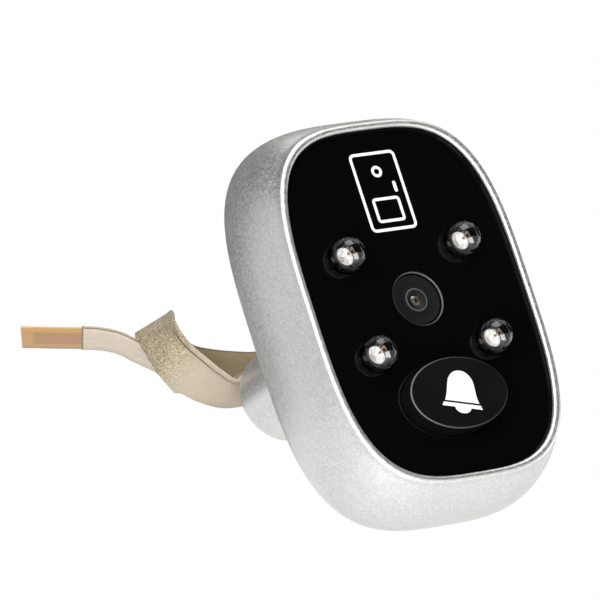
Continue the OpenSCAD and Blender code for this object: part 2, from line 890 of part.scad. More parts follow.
// Route of the free ribbon from the spigot's end to the tail's tip, with the way its width
// points at each place. Depth is counted from the spigot's end.
ribbon_route = [
    [0, 0, 0, 0, 0, 1],
    [0, 2.5, 0, 0, 0, 1],
    [1.8, 5.6, 1.7, 0, -0.3, 0.95],
    [6.4, 8.6, 4.5, 0.1, -0.5, 0.86],
    [8.4, 12.6, 8, 0.2, -0.5, 0.84],
    [6.7, 16.8, 9.9, 0.3, -0.31, 0.9],
    [3.9, 21.4, 12.5, 0.31, -0.37, 0.88],
    [1.6, 24.1, 14.8, 0.39, -0.64, 0.66],
    [-1.1, 24.3, 17.6, 0.73, -0.52, 0.44],
    [-2.9, 22.5, 20.3, 0.84, -0.44, 0.32],
    [-6.2, 16.9, 20.1, 0.88, -0.38, 0.29],
    [-8.2, 13.5, 16.9, 0.55, -0.81, 0.23],
    [-8.4, 11.4, 12.8, 0.55, -0.75, 0.37],
    [-6.9, 10, 9.1, 0.5, -0.7, 0.51],
    [-4.8, 8.8, 6.2, 0.19, -0.88, 0.43],
    [-2.1, 8.1, 4.4, 0, -0.95, 0.31],
    [2.8, 7.5, 4.8, -0.03, -0.79, 0.61],
    [4.7, 10.3, 5.5, -0.19, -0.73, 0.65],
    [3.7, 14.5, 6.5, -0.36, -0.9, 0.24],
    [0.7, 17.2, 9.3, -0.37, -0.91, 0.21],
    [-2.3, 18.7, 12, -0.31, -0.93, 0.2],
    [-5.2, 20.1, 14.8, -0.27, -0.94, 0.19],
    [-7.6, 21.6, 17.3, -0.29, -0.95, 0.15],
    [-9.6, 22.6, 19.4, -0.35, -0.91, 0.2],
    [-11.9, 23.6, 20.8, -0.41, -0.88, 0.23],
    [-14.5, 24.8, 21.8, -0.43, -0.87, 0.25],
    [-18.3, 26.95, 23.25, -0.43, -0.87, 0.25],
    [-22.1, 29.1, 24.7, -0.43, -0.87, 0.25]];
route_end = len(ribbon_route) - 1;
tail_start = route_end - 2;
strip_steps = 3;

function route_at(i) = ribbon_route[max(0, min(route_end, i))];

// Place and width direction at a share t of the way from point i to the next, on a smooth curve
function route_spot(i, t) =
    let (a = route_at(i - 1), b = route_at(i), c = route_at(i + 1), d = route_at(i + 2))
    0.5 * (2 * b + (c - a) * t + (2 * a - 5 * b + 4 * c - d) * t * t
        + (3 * b - a - 3 * c + d) * t * t * t);

// Direction of travel there
function route_way(i, t) =
    let (a = route_at(i - 1), b = route_at(i), c = route_at(i + 1), d = route_at(i + 2))
    0.5 * ((c - a) + 2 * (2 * a - 5 * b + 4 * c - d) * t + 3 * (3 * b - a - 3 * c + d) * t * t);

function first_three(v) = [v[0], v[1], v[2]];
function unit(v) = v / norm(v);

// Middle, width direction and face direction of the ribbon there
function ribbon_frame(i, t) =
    let (spot = route_spot(i, t),
        way = unit(first_three(route_way(i, t))),
        lean = [spot[3], spot[4], spot[5]],
        across = unit(lean - (lean * way) * way))
    [first_three(spot) + [0, spigot_len, 0], across, cross(way, across)];

// Section of a flat strip with eased edges
function strip_section(w, t) =
    let (a = w / 2, b = t / 2, e = min(t, w / 4) / 3)
    [[a, b / 3], [a - e, b], [e - a, b], [-a, b / 3],
        [-a, -b / 3], [e - a, -b], [a - e, -b], [a, -b / 3]];

// A strip along stretches of the route, shifted across its width and off its face
module strip(frames, w, t, shift = 0, lift = 0) {
    section = strip_section(w, t);
    points = [for (f = frames, s = section) f[0] + (s[0] + shift) * f[1] + (s[1] + lift) * f[2]];
    polyhedron(points, rod_faces(len(frames), len(section)), convexity = 8);
}

// Frames along the route from one of its points to another
function frames_between(first, last) = concat(
    [for (i = [first : last - 1], k = [0 : strip_steps - 1]) ribbon_frame(i, k / strip_steps)],
    [ribbon_frame(last - 1, 1)]);

module ribbon_inside() {
    color("wheat")
        block(ribbon_t, ribbon_w, socket_slot_y + fit, spigot_len);
}

module ribbon_cable() {
    color("wheat")
        strip(frames_between(0, tail_start), ribbon_w, ribbon_t);
}

module ribbon_tail() {
    color("orange")
        strip(frames_between(tail_start, route_end), tail_w, tail_t);
}

contact_t = 0.05;
last_leg = norm(first_three(route_at(route_end) - route_at(route_end - 1)));

module ribbon_contacts() {
    pitch = tail_w / (contact_count + 1);
    frames = [for (t = [1 - contact_len / last_leg, 1]) ribbon_frame(route_end - 1, t)];
    color("gold")
        for (i = [1 : contact_count])
            strip(frames, pitch / 2, contact_t, pitch * i - tail_w / 2, tail_t / 2 + contact_t / 2);
}

front_housing();
rear_cover();
housing_seal();
mounting_pad();
cover_screws();
spigot();
spigot_screws();
spigot_inserts();
ribbon_seal();
front_panel();
panel_adhesive();
inner_frame();
lens_barrel();
front_lens();
lens_spacer();
rear_lens();
lens_retainer();
ir_filter();
lens_holder();
holder_screws();
image_sensor();
ir_led(led_places[0]);  // ir_led_1
ir_led(led_places[1]);  // ir_led_2
ir_led(led_places[2]);  // ir_led_3
ir_led(led_places[3]);  // ir_led_4
led_frame(led_places[0]);  // led_frame_1
led_frame(led_places[1]);  // led_frame_2
led_frame(led_places[2]);  // led_frame_3
led_frame(led_places[3]);  // led_frame_4
led_spacer(led_places[0]);  // led_spacer_1
led_spacer(led_places[1]);  // led_spacer_2
led_spacer(led_places[2]);  // led_spacer_3
led_spacer(led_places[3]);  // led_spacer_4
main_board();
board_screws();
video_chip();
memory_chip();
crystal();
regulator();
capacitors();
resistors();
ribbon_socket();
bell_button();
bell_symbol();
switch_body();
switch_cover();
switch_plunger();
switch_dome();
ribbon_inside();
ribbon_cable();
ribbon_tail();
ribbon_contacts();
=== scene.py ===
import math

import bpy
from mathutils import Matrix, Vector


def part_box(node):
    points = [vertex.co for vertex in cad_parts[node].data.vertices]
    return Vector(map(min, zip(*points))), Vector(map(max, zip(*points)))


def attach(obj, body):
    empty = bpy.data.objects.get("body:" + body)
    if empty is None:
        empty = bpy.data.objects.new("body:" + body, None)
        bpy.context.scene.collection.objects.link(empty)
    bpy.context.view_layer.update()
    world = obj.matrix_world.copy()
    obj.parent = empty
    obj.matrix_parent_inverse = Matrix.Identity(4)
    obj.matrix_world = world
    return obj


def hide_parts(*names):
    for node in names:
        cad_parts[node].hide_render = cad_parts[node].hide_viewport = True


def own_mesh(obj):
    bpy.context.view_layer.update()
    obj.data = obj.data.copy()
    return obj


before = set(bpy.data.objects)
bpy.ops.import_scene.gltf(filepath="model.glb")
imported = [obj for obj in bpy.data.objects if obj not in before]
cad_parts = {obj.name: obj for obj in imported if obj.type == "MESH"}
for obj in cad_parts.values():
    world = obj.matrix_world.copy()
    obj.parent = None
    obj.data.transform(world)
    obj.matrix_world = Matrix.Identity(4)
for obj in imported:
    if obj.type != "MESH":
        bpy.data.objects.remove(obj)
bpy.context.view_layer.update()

scene = bpy.context.scene
scene.view_settings.view_transform = "Standard"

# Camera. It stands a metre off behind a long lens, low and to the left of the unit, and looks up at it.
# The lens barrel's middle on the window's face is the point that the picture is framed by.
window_low, window_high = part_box("front_panel")
barrel_low, barrel_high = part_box("lens_barrel")
window_y = window_low[1]
lens_z = (barrel_low[2] + barrel_high[2]) / 2
lens_spot = Vector((0, window_y, lens_z))
camera_back = Vector((-0.550, -0.796, -0.251)).normalized()
camera_right = Vector((0.826, -0.476, -0.300)).normalized()
camera_up = camera_back.cross(camera_right)
camera_distance = 1.0
camera_lens = 414
lens_right_of_middle = 0.0171
lens_above_middle = 0.0002
eye = lens_spot + camera_back * camera_distance
aim = lens_spot - camera_right * lens_right_of_middle - camera_up * lens_above_middle
look_back = (eye - aim).normalized()
look_right = camera_up.cross(look_back).normalized()
turn = Matrix((look_right, look_back.cross(look_right), look_back)).transposed()
bpy.ops.object.camera_add(location=eye, rotation=turn.to_euler())
scene.camera = bpy.context.object
scene.camera.data.lens = camera_lens
scene.camera.data.sensor_width = 36
scene.camera.data.clip_end = 20

# Studio. A white sweep all round, a pale floor far below, and soft boxes left, below, above and right.
# Dark cards that only gloss can see keep the window dark and give the silver its darker side.


def add_node(tree, kind, inputs=(), **settings):
    """Adds a node, sets its properties, and sets or links its inputs by name or number."""
    made = tree.nodes.new(kind)
    for key, value in settings.items():
        setattr(made, key, value)
    for key, value in dict(inputs).items():
        if isinstance(value, bpy.types.NodeSocket):
            tree.links.new(value, made.inputs[key])
        else:
            made.inputs[key].default_value = value
    return made


def arithmetic(tree, operation, first, second=0.0):
    return add_node(tree, "ShaderNodeMath", {0: first, 1: second}, operation=operation).outputs[0]


def times(tree, first, second):
    return arithmetic(tree, "MULTIPLY", first, second)


def maximum(tree, first, second):
    return arithmetic(tree, "MAXIMUM", first, second)


def blended(tree, share, first, second):
    return add_node(tree, "ShaderNodeMix", {0: share, 6: first, 7: second}, data_type="RGBA").outputs[2]


def start_material(name):
    """A material with its node tree and its shader's inputs."""
    material = bpy.data.materials.new(name)
    material.use_nodes = True
    return material, material.node_tree, material.node_tree.nodes["Principled BSDF"].inputs


def feed(tree, sockets, **values):
    """Sets or links a shader's inputs, which are named with _ for a space."""
    for key, value in values.items():
        socket = sockets[key.replace("_", " ")]
        if isinstance(value, bpy.types.NodeSocket):
            tree.links.new(value, socket)
        else:
            socket.default_value = value


def seen_rays(tree):
    """One for the rays that show the background itself: to the camera, in gloss and through glass."""
    rays = add_node(tree, "ShaderNodeLightPath").outputs
    mirrored = maximum(tree, rays["Is Glossy Ray"], rays["Is Transmission Ray"])
    return maximum(tree, rays["Is Camera Ray"], mirrored)


fill_light = (0.5, 0.5, 0.51, 1)
white = (1, 1, 1, 1)
world = bpy.data.worlds.new("studio")
world.use_nodes = True
scene.world = world
sweep = world.node_tree
sweep_colour = blended(sweep, seen_rays(sweep), fill_light, white)
sweep.links.new(sweep_colour, sweep.nodes["Background"].inputs["Color"])

floor_z = -0.6
floor_glow = 0.4
bpy.ops.mesh.primitive_plane_add(size=8, location=(0, 0, floor_z))
floor = bpy.context.object
floor.name = "studio_floor"
paint, tree, sockets = start_material("studio_floor")
feed(
    tree, sockets, Base_Color=(0.8, 0.8, 0.8, 1), Roughness=0.9, Emission_Color=white,
    Emission_Strength=times(tree, seen_rays(tree), floor_glow),
)
floor.data.materials.append(paint)


def soft_box(name, spot, size, power):
    """A square area lamp that points at the case."""
    spot = Vector(spot)
    turn = spot.to_track_quat("Z", "Y").to_euler()
    bpy.ops.object.light_add(type="AREA", location=spot, rotation=turn)
    lamp = bpy.context.object
    lamp.name = name
    lamp.data.size = size
    lamp.data.energy = power


def black_card(name, spot, width, height, shade):
    """A dark card that faces the case and shows only in gloss."""
    spot = Vector(spot)
    turn = spot.to_track_quat("Z", "Y").to_euler()
    bpy.ops.mesh.primitive_plane_add(size=1, location=spot, rotation=turn)
    card = bpy.context.object
    card.name = name
    card.scale = (width, height, 1)
    felt, tree, sockets = start_material(name)
    feed(
        tree, sockets, Base_Color=(0, 0, 0, 1), Specular_IOR_Level=0,
        Emission_Color=(shade, shade, shade, 1), Emission_Strength=1,
    )
    card.data.materials.append(felt)
    card.visible_camera = False
    card.visible_diffuse = False
    card.visible_transmission = False
    card.visible_shadow = False


soft_box("box_left", (-0.68, -0.68, 0.24), 0.6, 5.2)
soft_box("box_low", (-0.35, -0.5, -0.5), 0.5, 4)
soft_box("box_top", (0.02, -0.46, 0.78), 0.62, 4)
soft_box("box_right", (0.95, 0, -0.28), 0.45, 0.9)
black_card("card_front", (0.5, -0.75, 0.25), 1, 0.85, 0)
black_card("card_above", (-0.1, 0.8, 0.62), 1.8, 1.05, 0.16)
black_card("card_left", (-0.95, 0.1, 0.3), 0.9, 0.7, 0.56)
black_card("card_right", (0.87, 0.35, 0.33), 1.7, 0.6, 0.03)
black_card("card_over", (-0.4, 0.2, 0.9), 1.1, 0.9, 0.08)

# Ribbon. A flat cable in a woven beige cover leaves the spigot, climbs, rolls over towards the front,
# comes down, folds back on itself and runs off to the left, where its bare amber film sticks out.
# Each point is x, depth from the spigot's end, z and the way the width points, in millimetres.
MM = 0.001
ribbon_route = [
    (0, 0, 0, 0, 0, 1),
    (0, 2.5, 0, 0, 0, 1),
    (1.8, 5.6, 1.7, 0, -0.3, 0.95),
    (6.4, 8.6, 4.5, 0.1, -0.5, 0.86),
    (8.4, 12.6, 8, 0.2, -0.5, 0.84),
    (6.7, 16.8, 9.9, 0.3, -0.31, 0.9),
    (3.9, 21.4, 12.5, 0.31, -0.37, 0.88),
    (1.6, 24.1, 14.8, 0.39, -0.64, 0.66),
    (-1.1, 24.3, 17.6, 0.73, -0.52, 0.44),
    (-2.9, 22.5, 20.3, 0.84, -0.44, 0.32),
    (-6.2, 16.9, 20.1, 0.88, -0.38, 0.29),
    (-8.2, 13.5, 16.9, 0.55, -0.81, 0.23),
    (-8.4, 11.4, 12.8, 0.55, -0.75, 0.37),
    (-6.9, 10, 9.1, 0.5, -0.7, 0.51),
    (-4.8, 8.8, 6.2, 0.19, -0.88, 0.43),
    (-2.1, 8.1, 4.4, 0, -0.95, 0.31),
    (2.8, 7.5, 4.8, -0.03, -0.79, 0.61),
    (4.7, 10.3, 5.5, -0.19, -0.73, 0.65),
    (3.7, 14.5, 6.5, -0.36, -0.9, 0.24),
    (0.7, 17.2, 9.3, -0.37, -0.91, 0.21),
    (-2.3, 18.7, 12, -0.31, -0.93, 0.2),
    (-5.2, 20.1, 14.8, -0.27, -0.94, 0.19),
    (-7.6, 21.6, 17.3, -0.29, -0.95, 0.15),
    (-9.6, 22.6, 19.4, -0.35, -0.91, 0.2),
    (-11.9, 23.6, 20.8, -0.41, -0.88, 0.23),
    (-14.5, 24.8, 21.8, -0.43, -0.87, 0.25),
    (-18.3, 26.95, 23.25, -0.43, -0.87, 0.25),
    (-22.1, 29.1, 24.7, -0.43, -0.87, 0.25),
]
spigot_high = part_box("spigot")[1]
ribbon_exit = Vector((0, spigot_high[1], 0))
tail_start = len(ribbon_route) - 3
ribbon_width = 6.8 * MM
ribbon_thick = 0.4 * MM
tail_width = 6.4 * MM
tail_thick = 0.3 * MM
steps_per_leg = 10


def ribbon_spot(leg, share):
    """Middle, width direction and face direction at a share of one leg of the route, on a smooth curve."""
    last = len(ribbon_route) - 1
    a, b, c, d = (ribbon_route[max(0, min(last, leg + k))] for k in (-1, 0, 1, 2))
    place = []
    travel = []
    for p, q, r, s in zip(a, b, c, d):
        bend = 2 * p - 5 * q + 4 * r - s
        twist = 3 * q - p - 3 * r + s
        place.append(q + (r - p) * share / 2 + bend * share**2 / 2 + twist * share**3 / 2)
        travel.append((r - p) / 2 + bend * share + 1.5 * twist * share**2)
    way = Vector(travel[:3]).normalized()
    lean = Vector(place[3:])
    across = (lean - lean.dot(way) * way).normalized()
    return ribbon_exit + Vector(place[:3]) * MM, across, way.cross(across)


def ribbon_line(first, last):
    """Spots along the route from one of its points to another."""
    shares = [k / steps_per_leg for k in range(steps_per_leg)]
    spots = [ribbon_spot(leg, share) for leg in range(first, last) for share in shares]
    return spots + [ribbon_spot(last - 1, 1)]


def strip(name, line, front, back, reach=None):
    """A flat strip along a line. front and back are its faces' sections, as distance across and height
    off the middle. reach widens its lower edge at a distance along by a share. The UV map holds metres
    along and across, and the back's lies two widths further on."""
    section = front + back
    turns = len(section)
    points = []
    along = [0]
    for k, (middle, across, out) in enumerate(line):
        if k:
            along.append(along[-1] + (middle - line[k - 1][0]).length)
        wider = 1 + reach(along[-1]) if reach else 1
        points += [middle + across * (w * wider if w < 0 else w) + out * h for w, h in section]
    faces = []
    marks = []
    for k in range(len(line) - 1):
        for j in range(turns):
            n = (j + 1) % turns
            faces.append((k * turns + j, k * turns + n, (k + 1) * turns + n, (k + 1) * turns + j))
            shift = 0 if j < len(front) - 1 else 2 * ribbon_width
            low, high = section[j][0] + shift, section[n][0] + shift
            marks += [(along[k], low), (along[k], high), (along[k + 1], high), (along[k + 1], low)]
    for k, turn_round in ((0, 1), (len(line) - 1, -1)):
        end = [k * turns + j for j in range(turns)]
        faces.append(tuple(reversed(end)) if turn_round > 0 else tuple(end))
        marks += [(along[k], section[j - k * turns][0]) for j in faces[-1]]
    mesh = bpy.data.meshes.new(name)
    mesh.from_pydata(points, [], faces)
    for corner, mark in zip(mesh.uv_layers.new(name="ribbon").data, marks):
        corner.uv = mark
    piece = bpy.data.objects.new(name, mesh)
    scene.collection.objects.link(piece)
    bpy.ops.object.select_all(action="DESELECT")
    piece.select_set(True)
    bpy.context.view_layer.objects.active = piece
    bpy.ops.object.mode_set(mode="EDIT")
    bpy.ops.mesh.select_all(action="SELECT")
    bpy.ops.mesh.normals_make_consistent(inside=False)
    bpy.ops.object.mode_set(mode="OBJECT")
    bpy.ops.object.shade_smooth_by_angle(angle=math.radians(50))
    return piece, along[-1]


def strip_faces(width, thick, lap=0, lap_rise=0):
    """Front and back of a strip's section with rounded edges. A lap thickens the front's upper edge."""
    half, flat, edge = width / 2, thick / 2, thick / 2
    angles = [math.radians(a) for a in (0, 35, 65)]
    rounding = [(half - edge + edge * math.cos(a), flat * math.sin(a)) for a in angles]
    front = [(w, h + (lap_rise if h > 0 else 0)) for w, h in rounding]
    if lap:
        front += [(half - edge, flat + lap_rise), (half - lap, flat + lap_rise)]
        front += [(half - lap - lap_rise, flat)]
    front += [(half * k, flat) for k in (0.5, 0, -0.5)] + [(-w, h) for w, h in reversed(rounding)]
    back = [(-w, -h) for w, h in rounding[1:]] + [(half * k, -flat) for k in (-0.5, 0, 0.5)]
    back += [(w, -h) for w, h in reversed(rounding[1:])]
    return front, back


seam_lap = 0.75 * MM
seam_rise = 0.09 * MM
ribbon_path = ribbon_line(0, tail_start)


def path_length(leg):
    """Distance along the ribbon to a point of its route."""
    steps = ribbon_path[: round(leg * steps_per_leg) + 1]
    return sum((b[0] - a[0]).length for a, b in zip(steps, steps[1:]))


tab_along = path_length(12.9)
tab_share = 0.17
tab_lead = 7 * MM
tab_back = 0.9 * MM


def tab_reach(along):
    """The cover's cut edge runs out to a small corner under the roll and steps back behind it."""
    past = along - tab_along
    if past < 0:
        return tab_share * max(0, 1 + past / tab_lead) ** 2
    return tab_share * max(0, 1 - past / tab_back)


ribbon_faces = strip_faces(ribbon_width, ribbon_thick, seam_lap, seam_rise)
ribbon, ribbon_length = strip("ribbon_cover", ribbon_path, *ribbon_faces, tab_reach)


def start_group(name, values, outputs):
    """A node group that takes a vector and named numbers, given with their values, to named outputs."""
    group = bpy.data.node_groups.new(name, "ShaderNodeTree")
    group.interface.new_socket("Vector", in_out="INPUT", socket_type="NodeSocketVector")
    for label, value in values.items():
        socket = group.interface.new_socket(label, in_out="INPUT", socket_type="NodeSocketFloat")
        socket.default_value = value
    for label in outputs:
        group.interface.new_socket(label, in_out="OUTPUT", socket_type="NodeSocketFloat")
    return group, add_node(group, "NodeGroupInput").outputs, add_node(group, "NodeGroupOutput").inputs


def inverse(tree, value):
    return arithmetic(tree, "SUBTRACT", 1.0, value)


def fade(tree, value, low, high):
    """Zero below one value and one above another, with a smooth rise."""
    limits = {"Value": value, "From Min": low, "From Max": high}
    return add_node(tree, "ShaderNodeMapRange", limits, interpolation_type="SMOOTHSTEP").outputs[0]


def spread(tree, value, first, last, low=0.0, high=1.0):
    """Runs evenly from a first number to a last one while a value goes from low to high."""
    limits = {0: value, 1: low, 2: high, 3: first, 4: last}
    return add_node(tree, "ShaderNodeMapRange", limits).outputs[0]


def noise(tree, vector, scale, detail):
    parts = {"Vector": vector, "Scale": scale, "Detail": detail}
    return add_node(tree, "ShaderNodeTexNoise", parts).outputs["Fac"]


def split(tree, vector):
    return add_node(tree, "ShaderNodeSeparateXYZ", {0: vector}).outputs


def cell_chances(tree, vector, scale):
    """Three random numbers for each cell of a scattered pattern, and the distance off the cell's middle."""
    cells = add_node(tree, "ShaderNodeTexVoronoi", {"Vector": vector, "Scale": scale}).outputs
    return add_node(tree, "ShaderNodeSeparateColor", {0: cells["Color"]}).outputs, cells["Distance"]


def grouped(tree, group, inputs):
    return add_node(tree, "ShaderNodeGroup", inputs, node_tree=group).outputs


def bumped(tree, height, strength, distance):
    """A normal from a height."""
    inputs = {"Height": height, "Strength": strength, "Distance": distance}
    return add_node(tree, "ShaderNodeBump", inputs).outputs["Normal"]


weave, weave_in, weave_out = start_group("plain_weave", {"Threads per metre": 3000.0}, ["Height", "Tone"])
thread_scale = {0: weave_in["Vector"], "Scale": weave_in["Threads per metre"]}
thread_map = add_node(weave, "ShaderNodeVectorMath", thread_scale, operation="SCALE").outputs[0]
thread_at = split(weave, thread_map)
phases = [times(weave, arithmetic(weave, "FRACT", thread_at[k]), math.pi) for k in (0, 1)]
swell = [arithmetic(weave, "SINE", phase) for phase in phases]
over = add_node(weave, "ShaderNodeTexChecker", {"Vector": thread_map, "Scale": 1.0}).outputs["Fac"]
height = add_node(weave, "ShaderNodeMix", {0: over, 2: swell[0], 3: swell[1]}).outputs[0]
weave.links.new(height, weave_out["Height"])
weave.links.new(noise(weave, thread_map, 0.35, 3.0), weave_out["Tone"])

cloth, tree, sockets = start_material("ribbon_cloth")
ribbon_map = add_node(tree, "ShaderNodeUVMap", uv_map="ribbon").outputs[0]
along_across = split(tree, ribbon_map)
threads = grouped(tree, weave, {"Vector": ribbon_map, "Threads per metre": 3200.0})
beige = blended(tree, threads["Tone"], (0.55, 0.465, 0.34, 1), (0.755, 0.675, 0.535, 1))
beige = blended(tree, times(tree, threads["Height"], 0.35), (0.46, 0.38, 0.29, 1), beige)
clumps = noise(tree, ribbon_map, 900.0, 2.0)
# Painted sheen and shade on the roll: a mottled gold, darker than the beige and a little metallic, stands
# in for the light on the weave where the cover rolls over.
glitter_tone = cell_chances(tree, ribbon_map, 5500.0)[0][0]
gold = blended(tree, glitter_tone, (0.16, 0.125, 0.07, 1), (0.6, 0.51, 0.335, 1))
clumped = times(tree, fade(tree, clumps, 0.5, 0.75), 0.3)
gold = blended(tree, clumped, gold, (0.15, 0.12, 0.07, 1))
along_roll = path_length(10)
on_roll = fade(tree, along_across[0], along_roll - 5 * MM, along_roll - 2 * MM)
past_roll = fade(tree, along_across[0], along_roll + 8 * MM, along_roll + 16 * MM)
painted_roll_sheen = times(tree, on_roll, inverse(tree, past_roll))
# Painted light: the back face, which the strip running off to the left shows, is a lighter beige.
back_face = arithmetic(tree, "GREATER_THAN", along_across[1], ribbon_width)
lit_beige_back = blended(tree, threads["Tone"], (0.66, 0.57, 0.455, 1), (0.86, 0.76, 0.63, 1))
beige = blended(tree, times(tree, back_face, 0.8), beige, lit_beige_back)
# Painted shade: the back face before the roll, which is the inner wall by the spigot, is dark brown.
before_roll = inverse(tree, on_roll)
painted_wall_shade = times(tree, back_face, times(tree, before_roll, 0.9))
cover_colour = blended(tree, painted_wall_shade, beige, (0.209, 0.152, 0.071, 1))
cover_colour = blended(tree, times(tree, painted_roll_sheen, 0.9), cover_colour, gold)
seam_off = arithmetic(tree, "SUBTRACT", along_across[1], ribbon_width / 2 - seam_lap - seam_rise)
seam = inverse(tree, fade(tree, arithmetic(tree, "ABSOLUTE", seam_off), 0.06 * MM, 0.16 * MM))
seam_start = fade(tree, along_across[0], along_roll + 6 * MM, along_roll + 9 * MM)
seam = times(tree, seam, times(tree, seam_start, 0.9))
# Painted shadow: a dark line along one edge of the back face, where shade falls between the lap and the
# wall. The cover's cut end also gets a dark line.
back_edge = 2.5 * ribbon_width
edge_shadow_line = fade(tree, along_across[1], back_edge - 0.3 * MM, back_edge - 0.15 * MM)
cut_end = fade(tree, along_across[0], ribbon_length - 0.3 * MM, ribbon_length - 0.2 * MM)
dark_line = times(tree, maximum(tree, edge_shadow_line, cut_end), 0.75)
cover_colour = blended(tree, maximum(tree, seam, dark_line), cover_colour, (0.11, 0.08, 0.05, 1))
cloth_bump = arithmetic(tree, "ADD", threads["Height"], times(tree, threads["Tone"], 0.5))
feed(
    tree, sockets, Base_Color=cover_colour, Normal=bumped(tree, cloth_bump, 0.5, 0.00006),
    Roughness=spread(tree, painted_roll_sheen, 0.85, 0.5),
    Metallic=times(tree, painted_roll_sheen, 0.35), Sheen_Weight=0.25, Sheen_Roughness=0.4,
)
ribbon.data.materials.append(cloth)
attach(ribbon, "case")
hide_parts("ribbon_cable")

# Tail. The cover stops short and the cable's amber polyimide film goes on bare, with its fine copper
# tracks showing through in the middle and gilded contact strips at its very end.
tail_path = ribbon_line(tail_start, len(ribbon_route) - 1)
tail, tail_length = strip("ribbon_film", tail_path, *strip_faces(tail_width, tail_thick))
film, tree, sockets = start_material("amber_film")
film_map = add_node(tree, "ShaderNodeUVMap", uv_map="ribbon").outputs[0]
film_at = split(tree, film_map)
on_back = arithmetic(tree, "GREATER_THAN", film_at[1], ribbon_width)
film_across = arithmetic(tree, "SUBTRACT", film_at[1], times(tree, on_back, 2 * ribbon_width))
tracks_per_metre = 1700.0
track = arithmetic(tree, "SINE", times(tree, film_across, tracks_per_metre * 2 * math.pi))
off_middle = arithmetic(tree, "ABSOLUTE", film_across)
bare_edge = fade(tree, off_middle, 0.23 * tail_width, 0.32 * tail_width)
streak_map = add_node(tree, "ShaderNodeMapping", {"Vector": film_map, "Scale": (60, 900, 1)}).outputs[0]
streak = noise(tree, streak_map, 3.0, 4.0)
middle_tone = blended(tree, fade(tree, track, -0.6, 0.6), (0.41, 0.21, 0.092, 1), (0.48, 0.252, 0.112, 1))
middle_tone = blended(tree, times(tree, streak, 0.5), middle_tone, (0.455, 0.245, 0.12, 1))
bare_tip = fade(tree, film_at[0], tail_length - 2.2 * MM, tail_length - 1.4 * MM)
film_colour = blended(tree, maximum(tree, bare_edge, bare_tip), middle_tone, (0.557, 0.311, 0.103, 1))
feed(
    tree, sockets, Base_Color=film_colour, Roughness=spread(tree, streak, 0.25, 0.45),
    Normal=bumped(tree, track, 0.15, 0.00003), Coat_Weight=0.3, Coat_Roughness=0.15,
)
tail.data.materials.append(film)
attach(tail, "case")
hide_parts("ribbon_tail")

# Case. One injection moulding with a narrow rim round the window, a barrel-shaped side and a well rounded
# back, sprayed with silver paint full of fine flake. The wall of the pocket that takes the window is
# painted near black and not metallic, as painted shade in the gap round the window.
case_low, case_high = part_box("front_housing")
case_middle = Vector((0, 0, (case_low[2] + case_high[2]) / 2))
case_half_w = (case_high[0] - case_low[0]) / 2
case_half_h = (case_high[2] - case_low[2]) / 2
rim_y, back_y = case_low[1], case_high[1]
outline_power = 3.35
upper_power = 3.65
lower_power = 3.25
outline_points = 192
flare = 2.8 * MM
side_flare = 2 * MM
back_draw = 6.5 * MM
back_depth = 8 * MM
case_wall = 1.6 * MM
rim_width = 1.2 * MM
rim_round = 0.54 * rim_width
rim_chamfer = 0.41 * rim_width
widest_y = back_y - back_depth
seal_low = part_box("housing_seal")[0]
step_y = window_high[1] + 1.8 * MM
step_back_y = step_y + 1.5 * MM
cover_draw = back_draw + 0.6 * MM
ledge_draw = cover_draw + 0.7 * MM
ledge_y = seal_low[1]
ledge_front_y = ledge_y - 1.2 * MM
pocket_draw = flare + rim_width


def oval(half_w, half_h, power, points, middle_z):
    """Spots on a squared ellipse, as x and z."""
    spots = []
    for k in range(points):
        c, s = math.cos(2 * math.pi * k / points), math.sin(2 * math.pi * k / points)
        reach = (abs(c / half_w) ** power + abs(s / half_h) ** power) ** (-1 / power)
        spots.append((reach * c, middle_z + reach * s))
    return spots


def rim_share(y):
    """How much of the rim's own outline the case has at a depth."""
    return (max(0, widest_y - y) / (widest_y - rim_y - rim_round)) ** 2


def side_draw(y):
    """How far the case's side is drawn in from its widest outline at a depth."""
    if y > widest_y:
        return back_draw * (1 - math.sqrt(1 - ((y - widest_y) / back_depth) ** 2))
    return flare * rim_share(y)


def start_loop(name, spots, y):
    """Opens edit mode on a closed loop of edges through spots in a plane across the depth."""
    bpy.ops.object.select_all(action="DESELECT")
    bpy.ops.mesh.primitive_circle_add(vertices=len(spots))
    piece = bpy.context.object
    piece.name = piece.data.name = name
    for vertex, (x, z) in zip(piece.data.vertices, spots):
        vertex.co = (x, y, z)
    bpy.ops.object.mode_set(mode="EDIT")
    bpy.ops.mesh.select_all(action="SELECT")
    return piece


def draw_out(rings, middle):
    """Extrudes the selected loop ring by ring. A ring is its half width, half height and depth."""
    for (w0, h0, y0), (w1, h1, y1) in zip(rings, rings[1:]):
        bpy.ops.mesh.extrude_region_move(TRANSFORM_OT_translate={"value": (0, y1 - y0, 0)})
        bpy.ops.transform.resize(value=(w1 / w0, 1, h1 / h0), center_override=middle)


def close_piece(piece, material, body, nodes=(), smooth=35):
    """Ends the work in edit mode and gives the piece its finish and its place on a body."""
    bpy.ops.mesh.select_all(action="SELECT")
    bpy.ops.mesh.remove_doubles(threshold=1e-6)
    bpy.ops.mesh.normals_make_consistent(inside=False)
    bpy.ops.object.mode_set(mode="OBJECT")
    bpy.ops.object.shade_smooth_by_angle(angle=math.radians(smooth))
    piece.data.materials.append(material)
    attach(piece, body)
    if nodes:
        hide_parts(*nodes)


